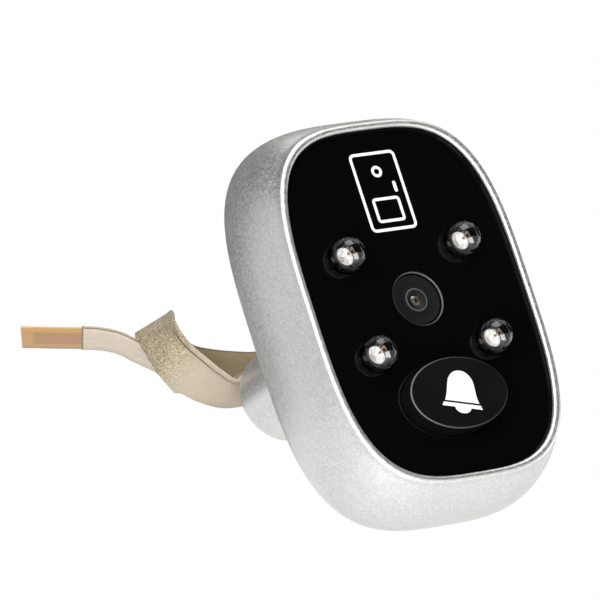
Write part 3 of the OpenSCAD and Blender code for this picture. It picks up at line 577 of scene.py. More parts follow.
section = [(pocket_draw, step_y, 1), (pocket_draw, rim_y + rim_chamfer, 1)]
for a in range(15, 91, 15):
    angle = math.radians(a)
    inner = pocket_draw - rim_chamfer * (1 - math.cos(angle))
    section.append((inner, rim_y + rim_chamfer * (1 - math.sin(angle)), 1))
for a in range(0, 91, 10):
    angle = math.radians(a)
    outer = flare + rim_round * (1 - math.sin(angle))
    section.append((outer, rim_y + rim_round * (1 - math.cos(angle)), 1))
side_steps = 14
for k in range(1, side_steps + 1):
    y = rim_y + rim_round + (widest_y - rim_y - rim_round) * k / side_steps
    section.append((side_draw(y), y, rim_share(y)))
for a in range(6, 91, 6):
    angle = math.radians(a)
    section.append((back_draw * (1 - math.cos(angle)), widest_y + back_depth * math.sin(angle), 0))
section += [(cover_draw, back_y, 0), (cover_draw, ledge_y, 0)]
section += [(ledge_draw, ledge_y, 0), (ledge_draw, ledge_front_y, 0)]
wall_steps = 8
for k in range(wall_steps + 1):
    y = ledge_front_y + (step_back_y - ledge_front_y) * k / wall_steps
    section.append((case_wall + side_draw(y), y, rim_share(y)))
step_draw = pocket_draw + 2 * MM
section += [(step_draw, step_back_y, 1), (step_draw, step_y, 1), section[0]]

flake, flake_in, flake_out = start_group(
    "metal_flake", {"Flakes per metre": 4500.0}, ["Tone", "Height", "Cloud"]
)
flake_tone = cell_chances(flake, flake_in["Vector"], flake_in["Flakes per metre"])[0]
orange_peel = noise(flake, flake_in["Vector"], 700.0, 2.0)
flake_height = arithmetic(flake, "ADD", flake_tone[1], times(flake, orange_peel, 2.0))
flake.links.new(flake_tone[0], flake_out["Tone"])
flake.links.new(flake_height, flake_out["Height"])
flake.links.new(noise(flake, flake_in["Vector"], 45.0, 3.0), flake_out["Cloud"])

pocket_half_w = case_half_w - pocket_draw + flare - side_flare
pocket_half_h = case_half_h - pocket_draw


def object_place(tree):
    return add_node(tree, "ShaderNodeTexCoord").outputs["Object"]


def off_axis(tree, place, middle_z, half_w, half_h, power=2):
    """Distance off a line along the depth, as a share of an oval round it, and the spot's coordinates."""
    at = split(tree, place)
    across = arithmetic(tree, "ABSOLUTE", arithmetic(tree, "DIVIDE", at[0], half_w))
    up = arithmetic(tree, "DIVIDE", arithmetic(tree, "SUBTRACT", at[2], middle_z), half_h)
    up = arithmetic(tree, "POWER", arithmetic(tree, "ABSOLUTE", up), power)
    both = arithmetic(tree, "ADD", arithmetic(tree, "POWER", across, power), up)
    return arithmetic(tree, "POWER", both, 1 / power), at


silver, tree, sockets = start_material("silver_paint")
place = object_place(tree)
speck = grouped(tree, flake, {"Vector": place, "Flakes per metre": 4500.0})
silver_tone = blended(tree, speck["Tone"], (0.66, 0.662, 0.645, 1), (0.83, 0.832, 0.812, 1))
silver_tone = blended(tree, times(tree, speck["Cloud"], 0.3), silver_tone, (0.74, 0.742, 0.725, 1))
off_pocket, place_at = off_axis(
    tree, place, case_middle.z, pocket_half_w + 0.2 * MM, pocket_half_h + 0.2 * MM, outline_power
)
# Painted shade: the pocket's wall behind the rim is near black and not metallic.
pocket_shade = fade(tree, place_at[1], rim_y + 0.8 * rim_chamfer, rim_y + 1.1 * rim_chamfer)
pocket_shade = times(tree, pocket_shade, arithmetic(tree, "LESS_THAN", place_at[1], step_back_y + 0.1 * MM))
pocket_shade = times(tree, pocket_shade, arithmetic(tree, "LESS_THAN", off_pocket, 1.0))
silver_tone = blended(tree, pocket_shade, silver_tone, (0.006, 0.006, 0.006, 1))
feed(
    tree, sockets, Base_Color=silver_tone,
    Metallic=times(tree, inverse(tree, pocket_shade), 0.9),
    Roughness=spread(tree, speck["Tone"], 0.3, 0.46),
    Normal=bumped(tree, speck["Height"], 0.09, 0.00006), Coat_Weight=0.15, Coat_Roughness=0.25,
)
pocket = oval(pocket_half_w, pocket_half_h, outline_power, outline_points, case_middle.z)
case = start_loop("case_shell", pocket, step_y)
for draw, y, share in section[1:]:
    half_w = case_half_w - draw + share * (flare - side_flare)
    half_h = case_half_h - draw
    bpy.ops.mesh.extrude_region_move()
    bpy.ops.object.mode_set(mode="OBJECT")
    for vertex in case.data.vertices:
        if vertex.select:
            x, z = vertex.co.x, vertex.co.z - case_middle.z
            power = upper_power if z > 0 else lower_power
            power += share * (outline_power - power)
            reach = (abs(x / half_w) ** power + abs(z / half_h) ** power) ** (-1 / power)
            vertex.co = (x * reach, y, case_middle.z + z * reach)
    bpy.ops.object.mode_set(mode="EDIT")
close_piece(case, silver, "case", ["front_housing"])

# Spigot and cover. The spigot is moulded with a collar and a flange that two screws hold inside the cover,
# and both have the same silver paint. Its end has the ribbon's slot and two brass inserts.


def finish_nodes(finish, *names):
    """Gives a finish to nodes that keep their own solids."""
    for name in names:
        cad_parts[name].material_slots[0].material = finish


finish_nodes(silver, "spigot", "rear_cover")

# Window. A sheet of gloss black acrylic with polished holes, which tape holds in the case's rim.
# A little dust lies on it. The edges of the lens hole and of the button's opening carry painted highlights.
window_half_w = (window_high[0] - window_low[0]) / 2
window_half_h = (window_high[2] - window_low[2]) / 2
lens_hole_r = 4.02 * MM
light_names = ["ir_led_1", "ir_led_2", "ir_led_3", "ir_led_4"]
light_hole_r = 2.6 * MM
light_spots = []
for name in light_names:
    low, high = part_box(name)
    light_spots.append(((low[0] + high[0]) / 2, (low[2] + high[2]) / 2))
button_low, button_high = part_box("bell_button")
button_z = (button_low[2] + button_high[2]) / 2
button_half_w = (button_high[0] - button_low[0]) / 2
button_half_h = 5.6 * MM
button_gap = 0.15 * MM

dust, dust_in, dust_out = start_group("dust", {"Specks per metre": 350.0, "Size": 0.1}, ["Mask"])
chance, off_speck = cell_chances(dust, dust_in["Vector"], dust_in["Specks per metre"])
near = arithmetic(dust, "LESS_THAN", off_speck, times(dust, dust_in["Size"], chance[1]))
rare = arithmetic(dust, "GREATER_THAN", chance[0], 0.8)
dust.links.new(times(dust, near, rare), dust_out["Mask"])

acrylic, tree, sockets = start_material("black_acrylic")
place = object_place(tree)
grains = grouped(tree, dust, {"Vector": place, "Specks per metre": 320.0, "Size": 0.1})["Mask"]
haze = noise(tree, place, 60.0, 4.0)
depth = blended(tree, haze, (0.001, 0.0011, 0.001, 1), (0.0025, 0.0028, 0.0026, 1))
# Painted highlight: the lens hole's edge and its wall near the face are paler, most on the side where the
# light falls.
off_lens, place_at = off_axis(tree, place, lens_z, lens_hole_r, lens_hole_r)
lens_edge_highlight = inverse(tree, fade(tree, off_lens, 1.03, 1.06))
light_slope = 0.4
lit_middle = light_slope * lens_z
lit_side = arithmetic(tree, "ADD", place_at[0], times(tree, place_at[2], light_slope))
lit_side = spread(tree, lit_side, 0.2, 1.0, lit_middle - lens_hole_r, lit_middle + lens_hole_r)
near_face = inverse(tree, fade(tree, place_at[1], window_y + 0.16 * MM, window_y + 0.26 * MM))
lens_edge_highlight = times(tree, lens_edge_highlight, times(tree, lit_side, near_face))
depth = blended(tree, lens_edge_highlight, depth, (0.12, 0.122, 0.125, 1))
# Painted highlight: a thin pale line round the button's opening, fading out towards the right.
off_button = off_axis(tree, place, button_z, button_half_w + button_gap, button_half_h + button_gap)[0]
button_opening_highlight = inverse(tree, fade(tree, off_button, 1.02, 1.035))
shaded = spread(tree, place_at[0], 1.0, 0.0, -button_half_w, 0.3 * button_half_w)
button_opening_highlight = times(tree, button_opening_highlight, times(tree, shaded, near_face))
depth = blended(tree, button_opening_highlight, depth, (0.03, 0.031, 0.032, 1))
feed(
    tree, sockets, Base_Color=blended(tree, grains, depth, (0.3, 0.31, 0.32, 1)),
    Roughness=arithmetic(tree, "ADD", times(tree, haze, 0.05), times(tree, grains, 0.5)),
    IOR=1.49, Specular_IOR_Level=0.1,
)
back_of_window = window_high[1]


def hole_rings(half_w, half_h, edge):
    """Rings of a hole through the window, with a polished edge in front."""
    rings = [
        (half_w + edge * out, half_h + edge * out, window_y + edge * deep) for out, deep in edge_profile
    ]
    return rings + [(half_w, half_h, back_of_window)]


edge_profile = [(1, 0), (0.5, 0.134), (0.134, 0.5), (0, 1)]
hole_edge = 0.22 * MM
outer_edge = -0.12 * MM
openings = [(0, lens_z, lens_hole_r, lens_hole_r, 96)]
openings += [(x, z, light_hole_r, light_hole_r, 72) for x, z in light_spots]
openings += [(0, button_z, button_half_w + button_gap, button_half_h + button_gap, 128)]
edge_rings = hole_rings(window_half_w, window_half_h, outer_edge)
outer_spots = oval(*edge_rings[0][:2], outline_power, outline_points, case_middle.z)
window = start_loop("window", outer_spots, window_y)
draw_out(edge_rings, case_middle)
flat_on = (math.pi / 2, 0, 0)
for x, z, half_w, half_h, points in openings:
    rings = hole_rings(half_w, half_h, hole_edge)
    bpy.ops.mesh.select_all(action="DESELECT")
    middle = (x, window_y, z)
    bpy.ops.mesh.primitive_circle_add(vertices=points, radius=1, location=middle, rotation=flat_on)
    bpy.ops.transform.resize(value=(rings[0][0], 1, rings[0][1]), center_override=middle)
    draw_out(rings, middle)
for face_y in (window_y, back_of_window):
    bpy.ops.object.mode_set(mode="OBJECT")
    for vertex in window.data.vertices:
        vertex.select = abs(vertex.co.y - face_y) < 0.001 * MM
    bpy.ops.object.mode_set(mode="EDIT")
    bpy.ops.mesh.fill(use_beauty=True)
close_piece(window, acrylic, "case", ["front_panel"], smooth=12)

# Window print. One pass of white screen ink above the lens: a plain door sign with a frame, an inner panel,
# a viewer and a handle, a few hundredths of a millimetre thick.
print_z = lens_z + 17 * MM
ink_thick = 0.03 * MM
ink_line = 0.45 * MM


def ink_frame(x, z, width, height, corner, line):
    """A rounded frame of ink in the open mesh. It is bare inside if a line is given."""
    bpy.ops.mesh.select_all(action="DESELECT")
    bpy.ops.mesh.primitive_plane_add(size=1, location=(x, window_y, z), rotation=flat_on)
    bpy.ops.transform.resize(value=(width, 1, height), center_override=(x, window_y, z))
    bpy.ops.mesh.bevel(offset=corner, segments=8, affect="VERTICES")
    if line:
        bpy.ops.mesh.inset(thickness=line)
        bpy.ops.mesh.delete(type="FACE")


def raise_ink(back_y):
    """Gives flat ink its thickness, forwards from the surface that carries it."""
    bpy.ops.mesh.select_all(action="SELECT")
    bpy.ops.transform.translate(value=(0, back_y - window_y, 0))
    bpy.ops.mesh.extrude_region_move(TRANSFORM_OT_translate={"value": (0, -ink_thick, 0)})


ink, tree, sockets = start_material("white_ink")
place = object_place(tree)
screen = noise(tree, place, 2600.0, 3.0)
feed(
    tree, sockets, Base_Color=blended(tree, screen, (0.80, 0.80, 0.79, 1), (0.92, 0.92, 0.91, 1)),
    Roughness=spread(tree, screen, 0.4, 0.6),
    Normal=bumped(tree, screen, 0.1, 0.00002),
)
sign = start_loop("door_print", oval(0.9 * MM, 0.9 * MM, 2, 40, print_z + 3.1 * MM), window_y)
bpy.ops.mesh.edge_face_add()
bpy.ops.mesh.inset(thickness=ink_line)
bpy.ops.mesh.delete(type="FACE")
ink_frame(0, print_z, 8 * MM, 12.4 * MM, 0.9 * MM, ink_line)
ink_frame(0, print_z - 2.9 * MM, 4.8 * MM, 3.9 * MM, 0.6 * MM, ink_line)
ink_frame(2.3 * MM, print_z + 0.5 * MM, 0.55 * MM, 1.7 * MM, 0.25 * MM, 0)
raise_ink(window_y)
close_piece(sign, ink, "case", smooth=30)

# Lens. The barrel is turned from aluminium and anodised black. Its shallow dish fills the window's hole,
# and a bead runs round the cone that leads down to the small coated glass.
nose_y, barrel_end_y = barrel_low[1], barrel_high[1]
barrel_r = (barrel_high[0] - barrel_low[0]) / 2
front_glass_low, front_glass_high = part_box("front_lens")
glass_r = (front_glass_high[0] - front_glass_low[0]) / 2
stack_y = front_glass_low[1]
holder_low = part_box("lens_holder")[0]
nose_r = 3.9 * MM
aperture_r = 0.85 * MM


def turned(name, profile, x, z, steps=96):
    """Opens edit mode on a piece turned about a line along the depth. The profile is radius and depth."""
    bpy.ops.object.select_all(action="DESELECT")
    bpy.ops.mesh.primitive_circle_add(vertices=3, radius=MM)
    piece = bpy.context.object
    piece.name = piece.data.name = name
    bpy.ops.object.mode_set(mode="EDIT")
    bpy.ops.mesh.select_all(action="SELECT")
    bpy.ops.mesh.merge(type="CENTER")
    bpy.ops.mesh.select_all(action="SELECT")
    bpy.ops.transform.translate(value=(x + profile[0][0], profile[0][1], z))
    for (r0, y0), (r1, y1) in zip(profile, profile[1:]):
        bpy.ops.mesh.extrude_region_move(TRANSFORM_OT_translate={"value": (r1 - r0, y1 - y0, 0)})
    bpy.ops.mesh.select_all(action="SELECT")
    bpy.ops.mesh.spin(steps=steps, angle=2 * math.pi, center=(x, 0, z), axis=(0, 1, 0))
    return piece


def arc(r, y, size, first, last, count):
    """Profile points on part of a circle, between two angles. Zero points outwards, 90 backwards."""
    angles = [math.radians(first + (last - first) * k / count) for k in range(count + 1)]
    return [(r + size * math.cos(a), y + size * math.sin(a)) for a in angles]


grain, grain_in, grain_out = start_group("fine_grain", {"Grains per metre": 3000.0}, ["Height", "Tone"])
pits = noise(grain, grain_in["Vector"], grain_in["Grains per metre"], 4.0)
grain.links.new(pits, grain_out["Height"])
grain.links.new(noise(grain, grain_in["Vector"], 120.0, 3.0), grain_out["Tone"])


def grained(name, dark, light, grains, roughness, bump, painted_highlight=None, **plain):
    """A finish with fine grain: two tones, a range of roughness and a bump in metres. The optional pair
    holds a function that gives a mask of painted highlight, and the paler colour painted there."""
    made, tree, sockets = start_material(name)
    place = object_place(tree)
    texture = grouped(tree, grain, {"Vector": place, "Grains per metre": grains})
    tone = blended(tree, texture["Tone"], (*dark, 1), (*light, 1))
    if painted_highlight:
        tone = blended(tree, painted_highlight[0](tree, place), tone, (*painted_highlight[1], 1))
    both = times(tree, arithmetic(tree, "ADD", texture["Tone"], texture["Height"]), 0.5)
    feed(
        tree, sockets, Base_Color=tone, Roughness=spread(tree, both, *roughness, 0.3, 0.7),
        Normal=bumped(tree, texture["Height"], 0.4, bump), **plain,
    )
    return made


def bead_highlight(tree, place):
    """The bead's top, painted paler as a highlight."""
    off = off_axis(tree, place, lens_z, MM, MM)[0]
    outside = inverse(tree, fade(tree, off, 1.76, 1.84))
    return times(tree, fade(tree, off, 1.54, 1.62), outside)


lens_black = grained(
    "anodised_black", (0.0055, 0.0058, 0.0056), (0.009, 0.0094, 0.0091), 5000.0, (0.35, 0.5), 0.00002,
    painted_highlight=(bead_highlight, (0.08, 0.082, 0.08)), Specular_IOR_Level=0.14,
)
bead_r = 1.68 * MM
bead_y = nose_y + 0.12 * MM
barrel_profile = [(aperture_r, stack_y), (aperture_r, stack_y - 0.15 * MM)]
barrel_profile += [(aperture_r + 0.08 * MM, stack_y - 0.22 * MM), (1.53 * MM, bead_y + 0.14 * MM)]
barrel_profile += arc(bead_r, bead_y + 0.06 * MM, 0.12 * MM, 180, 360, 10)
barrel_profile += [(1.88 * MM, bead_y + 0.1 * MM)]
barrel_profile += [(2.6 * MM, nose_y + 0.2 * MM), (3.3 * MM, nose_y + 0.08 * MM)]
barrel_profile += arc(nose_r - 0.2 * MM, nose_y + 0.2 * MM, 0.2 * MM, 250, 360, 8)
barrel_profile += [(nose_r, holder_low[1] - 0.6 * MM), (barrel_r - 0.3 * MM, holder_low[1] - 0.6 * MM)]
barrel_profile += [(barrel_r, holder_low[1] - 0.3 * MM), (barrel_r, barrel_end_y), (glass_r, barrel_end_y)]
barrel_profile += [(glass_r, stack_y), (aperture_r, stack_y)]
barrel = turned("barrel", barrel_profile, 0, lens_z)
close_piece(barrel, lens_black, "case", ["lens_barrel"], smooth=40)

coated_glass, tree, sockets = start_material("coated_glass")
place = object_place(tree)
bloom = noise(tree, place, 2200.0, 3.0)
bloom_tone = blended(tree, fade(tree, bloom, 0.44, 0.6), (0.02, 0.012, 0.01, 1), (0.36, 0.27, 0.2, 1))
feed(
    tree, sockets, Base_Color=bloom_tone, Roughness=spread(tree, bloom, 0.01, 0.04), IOR=1.7,
    Transmission_Weight=0.75, Coat_Weight=0.5, Coat_Roughness=0.02, Coat_Tint=(0.7, 0.85, 0.75, 1),
)
dome_r = 1.5 * MM
dome_top = stack_y - 0.5 * MM
dome_edge_r = aperture_r - 0.03 * MM
half_angle = math.degrees(math.asin(dome_edge_r / dome_r))
glass_profile = [(0, dome_top)] + arc(0, dome_top + dome_r, dome_r, 270, 270 + half_angle, 8)[1:]
back_ball = (glass_r**2 + (1.5 * MM) ** 2) / (3 * MM)
back_angle = math.degrees(math.asin(glass_r / back_ball))
glass_profile += [(dome_edge_r, stack_y), (glass_r, stack_y), (glass_r, stack_y + 0.02 * MM)]
glass_profile += arc(0, front_glass_high[1] - back_ball, back_ball, 90 - back_angle, 90, 12)[1:]
front_glass = turned("front_glass", glass_profile, 0, lens_z)
close_piece(front_glass, coated_glass, "case", ["front_lens"], smooth=40)
finish_nodes(lens_black, "lens_spacer", "lens_retainer")
finish_nodes(coated_glass, "rear_lens")
blue_glass = coated_glass.copy()
blue_glass.name = "blue_filter"
blue_glass.node_tree.nodes["Mix"].inputs[6].default_value = (0.35, 0.62, 0.8, 1)
blue_glass.node_tree.nodes["Mix"].inputs[7].default_value = (0.45, 0.6, 0.85, 1)
finish_nodes(blue_glass, "ir_filter")

# Lights. Each is a stamped, silvered lead frame with a bright cup, a tiny chip and a gold wire, cast into
# epoxy with a clear domed top. The epoxy's sides are painted near black as painted shade round the light,
# and its flange sits under the window, on a stand-off.
light_low, light_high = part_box("ir_led_1")
post_low, post_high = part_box("led_frame_1")
dome_radius = 2.5 * MM
dome_middle_y = light_low[1] + dome_radius
light_base_y = light_high[1]
light_flange_r = (light_high[0] - light_low[0]) / 2
cup_y = post_low[1]
leg_end_y = post_high[1]
leg_half = 1.27 * MM
cup_radius = 0.82 * MM
cup_depth = 0.55 * MM
post_half = 0.25 * MM
wire_r = 0.09 * MM
wire_steps = 12

epoxy, tree, sockets = start_material("clear_epoxy")
place = object_place(tree)
cast = noise(tree, place, 500.0, 2.0)
clear_tone = blended(tree, cast, (0.96, 0.97, 0.97, 1), (0.99, 0.99, 1, 1))
place_y = split(tree, place)[1]
# Painted shade: the epoxy behind the dome's middle is near black.
side_shade = fade(tree, place_y, dome_middle_y + 0.1 * MM, dome_middle_y + 0.2 * MM)
feed(
    tree, sockets, Base_Color=blended(tree, side_shade, clear_tone, (0.05, 0.05, 0.05, 1)), IOR=1.54,
    Roughness=spread(tree, cast, 0.0, 0.02), Transmission_Weight=1.0,
)
silvered = grained(
    "silvered_lead", (0.4, 0.39, 0.375), (0.95, 0.94, 0.92), 2500.0, (0.2, 0.4), 0.00012, Metallic=0.85
)
bond_gold = grained(
    "bond_gold", (0.12, 0.06, 0.02), (0.34, 0.19, 0.08), 2500.0, (0.35, 0.5), 0.00002, Metallic=0.3
)


def block(x0, x1, y0, y1, z0, z1):
    """A block added to the open mesh between two corners."""
    middle = ((x0 + x1) / 2, (y0 + y1) / 2, (z0 + z1) / 2)
    bpy.ops.mesh.select_all(action="DESELECT")
    bpy.ops.mesh.primitive_cube_add(size=1, location=middle)
    bpy.ops.transform.resize(value=(x1 - x0, y1 - y0, z1 - z0), center_override=middle)
    bpy.ops.mesh.bevel(offset=min(x1 - x0, y1 - y0, z1 - z0) * 0.15, segments=2, affect="EDGES")


for number, (x, z) in enumerate(light_spots, 1):
    lens_cap = [(0, light_low[1])] + arc(0, dome_middle_y, dome_radius, 270, 360, 20)[1:]
    lens_cap += [(dome_radius, light_base_y - MM), (light_flange_r - 0.1 * MM, light_base_y - MM)]
    lens_cap += [(light_flange_r, light_base_y - 0.9 * MM)]
    lens_cap += [(light_flange_r, light_base_y), (0, light_base_y)]
    cap = turned(f"light_{number}", lens_cap, x, z, steps=64)
    close_piece(cap, epoxy, "case", [f"ir_led_{number}"], smooth=40)

    cup_x = x - 0.1 * MM
    cup_floor = cup_y + cup_depth
    cup_profile = [(0, cup_floor), (0.35 * MM, cup_floor), (0.7 * MM, cup_y), (cup_radius, cup_y)]
    cup_profile += [(cup_radius, cup_y + 0.75 * MM), (0.5 * MM, cup_y + 0.95 * MM), (0, cup_y + 0.95 * MM)]
    posts = turned(f"light_posts_{number}", cup_profile, cup_x, z, steps=40)
    post_z = (z - post_half, z + post_half)
    arm_y = (cup_y + 0.8 * MM, cup_y + 2 * MM)
    block(x - leg_half - post_half, x + 0.35 * MM, *arm_y, z - 0.3 * MM, z + 0.3 * MM)
    block(x + leg_half - 0.45 * MM, x + leg_half - 0.09 * MM, cup_y, cup_y + 2 * MM, *post_z)
    for side in (-1, 1):
        leg_x = x + side * leg_half
        block(leg_x - post_half, leg_x + post_half, cup_y + 1.9 * MM, leg_end_y, *post_z)
    close_piece(posts, silvered, "case", [f"led_frame_{number}"], smooth=40)

    wire_start = (cup_x + 0.58 * MM, cup_y + 0.06 * MM, z + 0.28 * MM)
    wire_ring = oval(wire_r, wire_r, 2, 8, wire_start[2])
    chip = start_loop(f"light_chip_{number}", wire_ring, wire_start[1])
    bpy.ops.transform.translate(value=(wire_start[0], 0, 0))
    bpy.ops.transform.rotate(value=math.pi / 2, orient_axis="Z", center_override=wire_start)
    for k in range(wire_steps):
        swing = math.sin(math.pi * (k + 1) / wire_steps) - math.sin(math.pi * k / wire_steps)
        step = (0.52 * MM / wire_steps, -0.08 * MM / wire_steps - 0.2 * MM * swing, 0.3 * MM * swing)
        bpy.ops.mesh.extrude_region_move(TRANSFORM_OT_translate={"value": step})
    chip_y = (cup_y + 0.05 * MM, cup_y + 0.4 * MM)
    block(cup_x + 0.5 * MM, cup_x + 0.64 * MM, *chip_y, z + 0.2 * MM, z + 0.36 * MM)
    close_piece(chip, bond_gold, "case", smooth=40)

# Button. A satin black cap with drafted sides and a crisp edge round an almost flat oval face. Its flange
# under the window keeps it in, and its stem rests on the switch.
button_face_y, button_back_y = button_low[1], button_high[1]
button_middle = Vector((0, 0, button_z))
button_draft = 0.1 * MM
button_edge = 0.35 * MM
button_crown = 0.08 * MM
flange_front_y = window_high[1] + 0.1 * MM
flange_back_y = flange_front_y + 1 * MM
flange_half_h = (button_high[2] - button_low[2]) / 2
stem_r = 2.2 * MM


def cap_edge_highlight(tree, place):
    """The cap's edge, painted paler as a highlight, most on its left."""
    off, at = off_axis(tree, place, button_z, button_half_w, button_half_h)
    ring = arithmetic(tree, "SUBTRACT", fade(tree, off, 0.95, 0.962), fade(tree, off, 0.97, 0.984))
    left = spread(tree, at[0], 1.0, 0.1, -button_half_w, 0.7 * button_half_w)
    raised = arithmetic(tree, "LESS_THAN", at[1], button_face_y + 0.6 * MM)
    return times(tree, ring, times(tree, left, raised))


satin_black = grained(
    "satin_black", (0.003, 0.003, 0.003), (0.005, 0.005, 0.005), 2500.0, (0.32, 0.42), 0.00003,
    painted_highlight=(cap_edge_highlight, (0.15, 0.15, 0.15)), Specular_IOR_Level=0.12,
)
edge_y = button_face_y + button_crown + button_edge
cap_section = [(0, flange_front_y), (0, window_y), (button_draft, edge_y)]
for k in range(1, 7):
    angle = math.radians(15 * k)
    draw = button_draft + button_edge * (1 - math.cos(angle))
    cap_section.append((draw, edge_y - button_edge * math.sin(angle)))
face_draw = cap_section[-1][0]
cap_rings = [(button_half_w - draw, button_half_h - draw, y) for draw, y in cap_section]
for share in (0.85, 0.65, 0.4, 0.15, 0.02):
    crown = button_face_y + button_crown * share**2
    cap_rings.append(((button_half_w - face_draw) * share, (button_half_h - face_draw) * share, crown))
button = start_loop("button_cap", oval(button_half_w, button_half_h, 2, 128, button_z), flange_front_y)
draw_out(cap_rings, button_middle)
bpy.ops.mesh.edge_face_add()
bpy.ops.mesh.select_all(action="DESELECT")
stem_end_r = stem_r - 0.2 * MM
flange_rings = [(button_half_w, half_h, flange_front_y) for half_h in (button_half_h, flange_half_h)]
flange_rings += [(button_half_w, flange_half_h, flange_back_y), (stem_r, stem_r, flange_back_y)]
flange_rings += [(stem_r, stem_r, button_back_y - 0.2 * MM), (stem_end_r, stem_end_r, button_back_y)]
bpy.ops.object.mode_set(mode="OBJECT")
for vertex in button.data.vertices:
    vertex.select = vertex.co.y > flange_front_y - 0.01 * MM
bpy.ops.object.mode_set(mode="EDIT")
draw_out(flange_rings, button_middle)
bpy.ops.mesh.edge_face_add()
close_piece(button, satin_black, "button", ["bell_button"], smooth=25)

# Bell sign. It is pad printed on the button in white, a little turned: a dome, a thin gap, a lip and half
# a disc for the clapper. Distances are across and above the middle of the lip's lower edge.
bell_turn = math.radians(14.5)
bell_x, bell_z = -0.41 * MM, button_z - 2.39 * MM
bell_squeeze = 0.955
bell_half = [(2.82, 0.92), (2.6, 1.5), (2.42, 2.2), (2.3, 3.0), (2.18, 3.8), (2.02, 4.5), (1.75, 5.0)]
bell_half += [(1.4, 5.43), (1.0, 5.72), (0.52, 5.92), (0, 5.98)]
bell_dome = bell_half + [(-w, h) for w, h in reversed(bell_half[:-1])]
clapper_angles = [math.radians(a) for a in range(0, 181, 12)]
clapper = [(0.1 + 1.3 * math.cos(a), -0.93 * math.sin(a)) for a in clapper_angles]
bell_lip = [(3.06, 0.6), (-3.06, 0.6), (-3.3, 0), *reversed(clapper), (3.3, 0)]


def bell_spots(points):
    """Turns the sign's points on to the button's face."""
    c, s = math.cos(bell_turn), math.sin(bell_turn)
    squeezed = [(w, h * bell_squeeze) for w, h in points]
    return [(bell_x + (w * c + h * s) * MM, bell_z + (h * c - w * s) * MM) for w, h in squeezed]


bell = start_loop("bell_sign", bell_spots(bell_dome), button_face_y + 0.05 * MM)
bpy.ops.mesh.edge_face_add()
bpy.ops.object.mode_set(mode="OBJECT")
start_loop("bell_lip", bell_spots(bell_lip), button_face_y + 0.05 * MM)
bpy.ops.mesh.edge_face_add()
bpy.ops.object.mode_set(mode="OBJECT")
bell.select_set(True)
bpy.context.view_layer.objects.active = bell
bpy.ops.object.join()
bpy.ops.object.mode_set(mode="EDIT")
bpy.ops.mesh.select_all(action="SELECT")
bpy.ops.mesh.extrude_region_move(TRANSFORM_OT_translate={"value": (0, -0.1 * MM, 0)})
close_piece(bell, ink, "button", ["bell_symbol"], smooth=30)

# Snap dome. A disc of spring steel, pressed into a shallow dome, lies in the switch under its plunger.
# In the real unit it gives way by the button's travel when the button is pressed, and throws it back.
snap_low, snap_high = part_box("switch_dome")
snap_r = (snap_high[0] - snap_low[0]) / 2
snap_rise = snap_high[1] - snap_low[1]
snap_sheet = 0.1 * MM
cap_rise = snap_rise - snap_sheet
snap_ball = (snap_r**2 + cap_rise**2) / (2 * cap_rise)
snap_angle = math.degrees(math.asin(snap_r / snap_ball))
sheet_steel = grained(
    "sheet_steel", (0.55, 0.55, 0.54), (0.7, 0.7, 0.69), 1800.0, (0.2, 0.4), 0.00002, Metallic=1.0
)
snap_top = [(0, snap_low[1])] + arc(0, snap_low[1] + snap_ball, snap_ball, 270, 270 + snap_angle, 16)[1:]
snap_under = [(r, y + snap_sheet) for r, y in reversed(snap_top[:-1])]
snap_profile = snap_top + [(snap_r, snap_high[1])] + snap_under
snap_dome = turned("snap_dome", snap_profile, 0, button_z, steps=64)
close_piece(snap_dome, sheet_steel, "case", ["switch_dome"])
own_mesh(snap_dome)

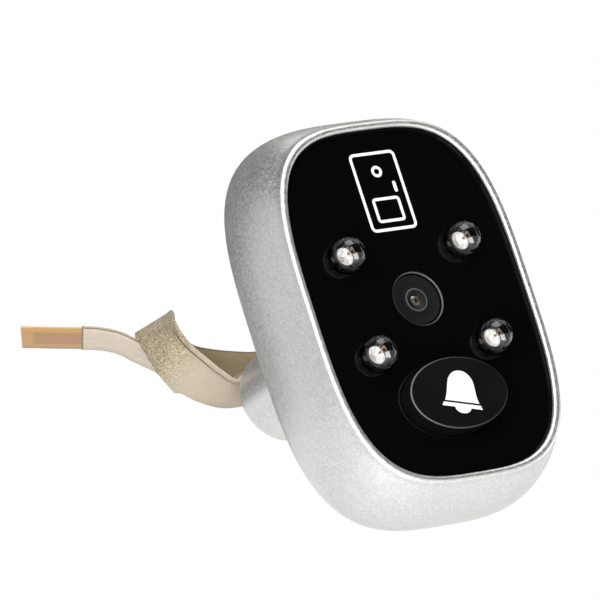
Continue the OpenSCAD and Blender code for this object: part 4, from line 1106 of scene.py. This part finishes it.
# Parts inside and behind, as they are in the frame: moulded, rubber, steel, brass and board parts, each
# with the finish it has in a real unit.
finish_nodes(satin_black, "inner_frame", "lens_holder", "switch_body", "switch_plunger")
finish_nodes(
    grained("grey_nylon", (0.34, 0.36, 0.35), (0.48, 0.5, 0.49), 1800.0, (0.45, 0.65), 0.00004),
    "led_spacer_1", "led_spacer_2", "led_spacer_3", "led_spacer_4",
)
finish_nodes(
    grained("zinc_steel", (0.42, 0.43, 0.44), (0.6, 0.6, 0.6), 2500.0, (0.25, 0.45), 0.00002, Metallic=1.0),
    "cover_screws", "spigot_screws", "holder_screws", "board_screws",
)
finish_nodes(sheet_steel, "crystal", "switch_cover")
brass = grained(
    "turned_brass", (0.62, 0.42, 0.16), (0.8, 0.58, 0.26), 2600.0, (0.2, 0.4), 0.00002, Metallic=1.0
)
finish_nodes(brass, "spigot_inserts")
finish_nodes(
    grained("seal_rubber", (0.018, 0.018, 0.018), (0.035, 0.034, 0.033), 1500.0, (0.6, 0.8), 0.00006),
    "housing_seal", "ribbon_seal",
)
foam = grained("foam_pad", (0.02, 0.02, 0.021), (0.045, 0.045, 0.047), 1300.0, (0.85, 1.0), 0.0003)
finish_nodes(foam, "mounting_pad")
tape = grained("tape", (0.6, 0.6, 0.58), (0.75, 0.74, 0.72), 900.0, (0.5, 0.7), 0.00003)
finish_nodes(tape, "panel_adhesive")
solder_mask = grained(
    "solder_mask", (0.008, 0.07, 0.03), (0.015, 0.12, 0.05), 400.0, (0.25, 0.4), 0.00004, Coat_Weight=0.3
)
finish_nodes(solder_mask, "main_board")
finish_nodes(
    grained("chip_resin", (0.012, 0.012, 0.013), (0.03, 0.03, 0.03), 2600.0, (0.5, 0.7), 0.00004),
    "image_sensor", "video_chip", "memory_chip", "regulator", "resistors",
)
ceramic = grained("ceramic_tan", (0.36, 0.25, 0.14), (0.5, 0.36, 0.22), 1800.0, (0.3, 0.5), 0.00003)
finish_nodes(ceramic, "capacitors")
socket_resin = grained("socket_resin", (0.62, 0.57, 0.44), (0.75, 0.7, 0.58), 1800.0, (0.4, 0.6), 0.00003)
finish_nodes(socket_resin, "ribbon_socket")
inner_cloth = grained("ribbon_inner", (0.46, 0.38, 0.28), (0.66, 0.57, 0.45), 2600.0, (0.7, 0.9), 0.00008)
finish_nodes(inner_cloth, "ribbon_inside")
gilding = grained(
    "contact_gold", (0.7, 0.47, 0.15), (0.9, 0.66, 0.27), 2600.0, (0.15, 0.3), 0.00001, Metallic=1.0
)
finish_nodes(gilding, "ribbon_contacts")
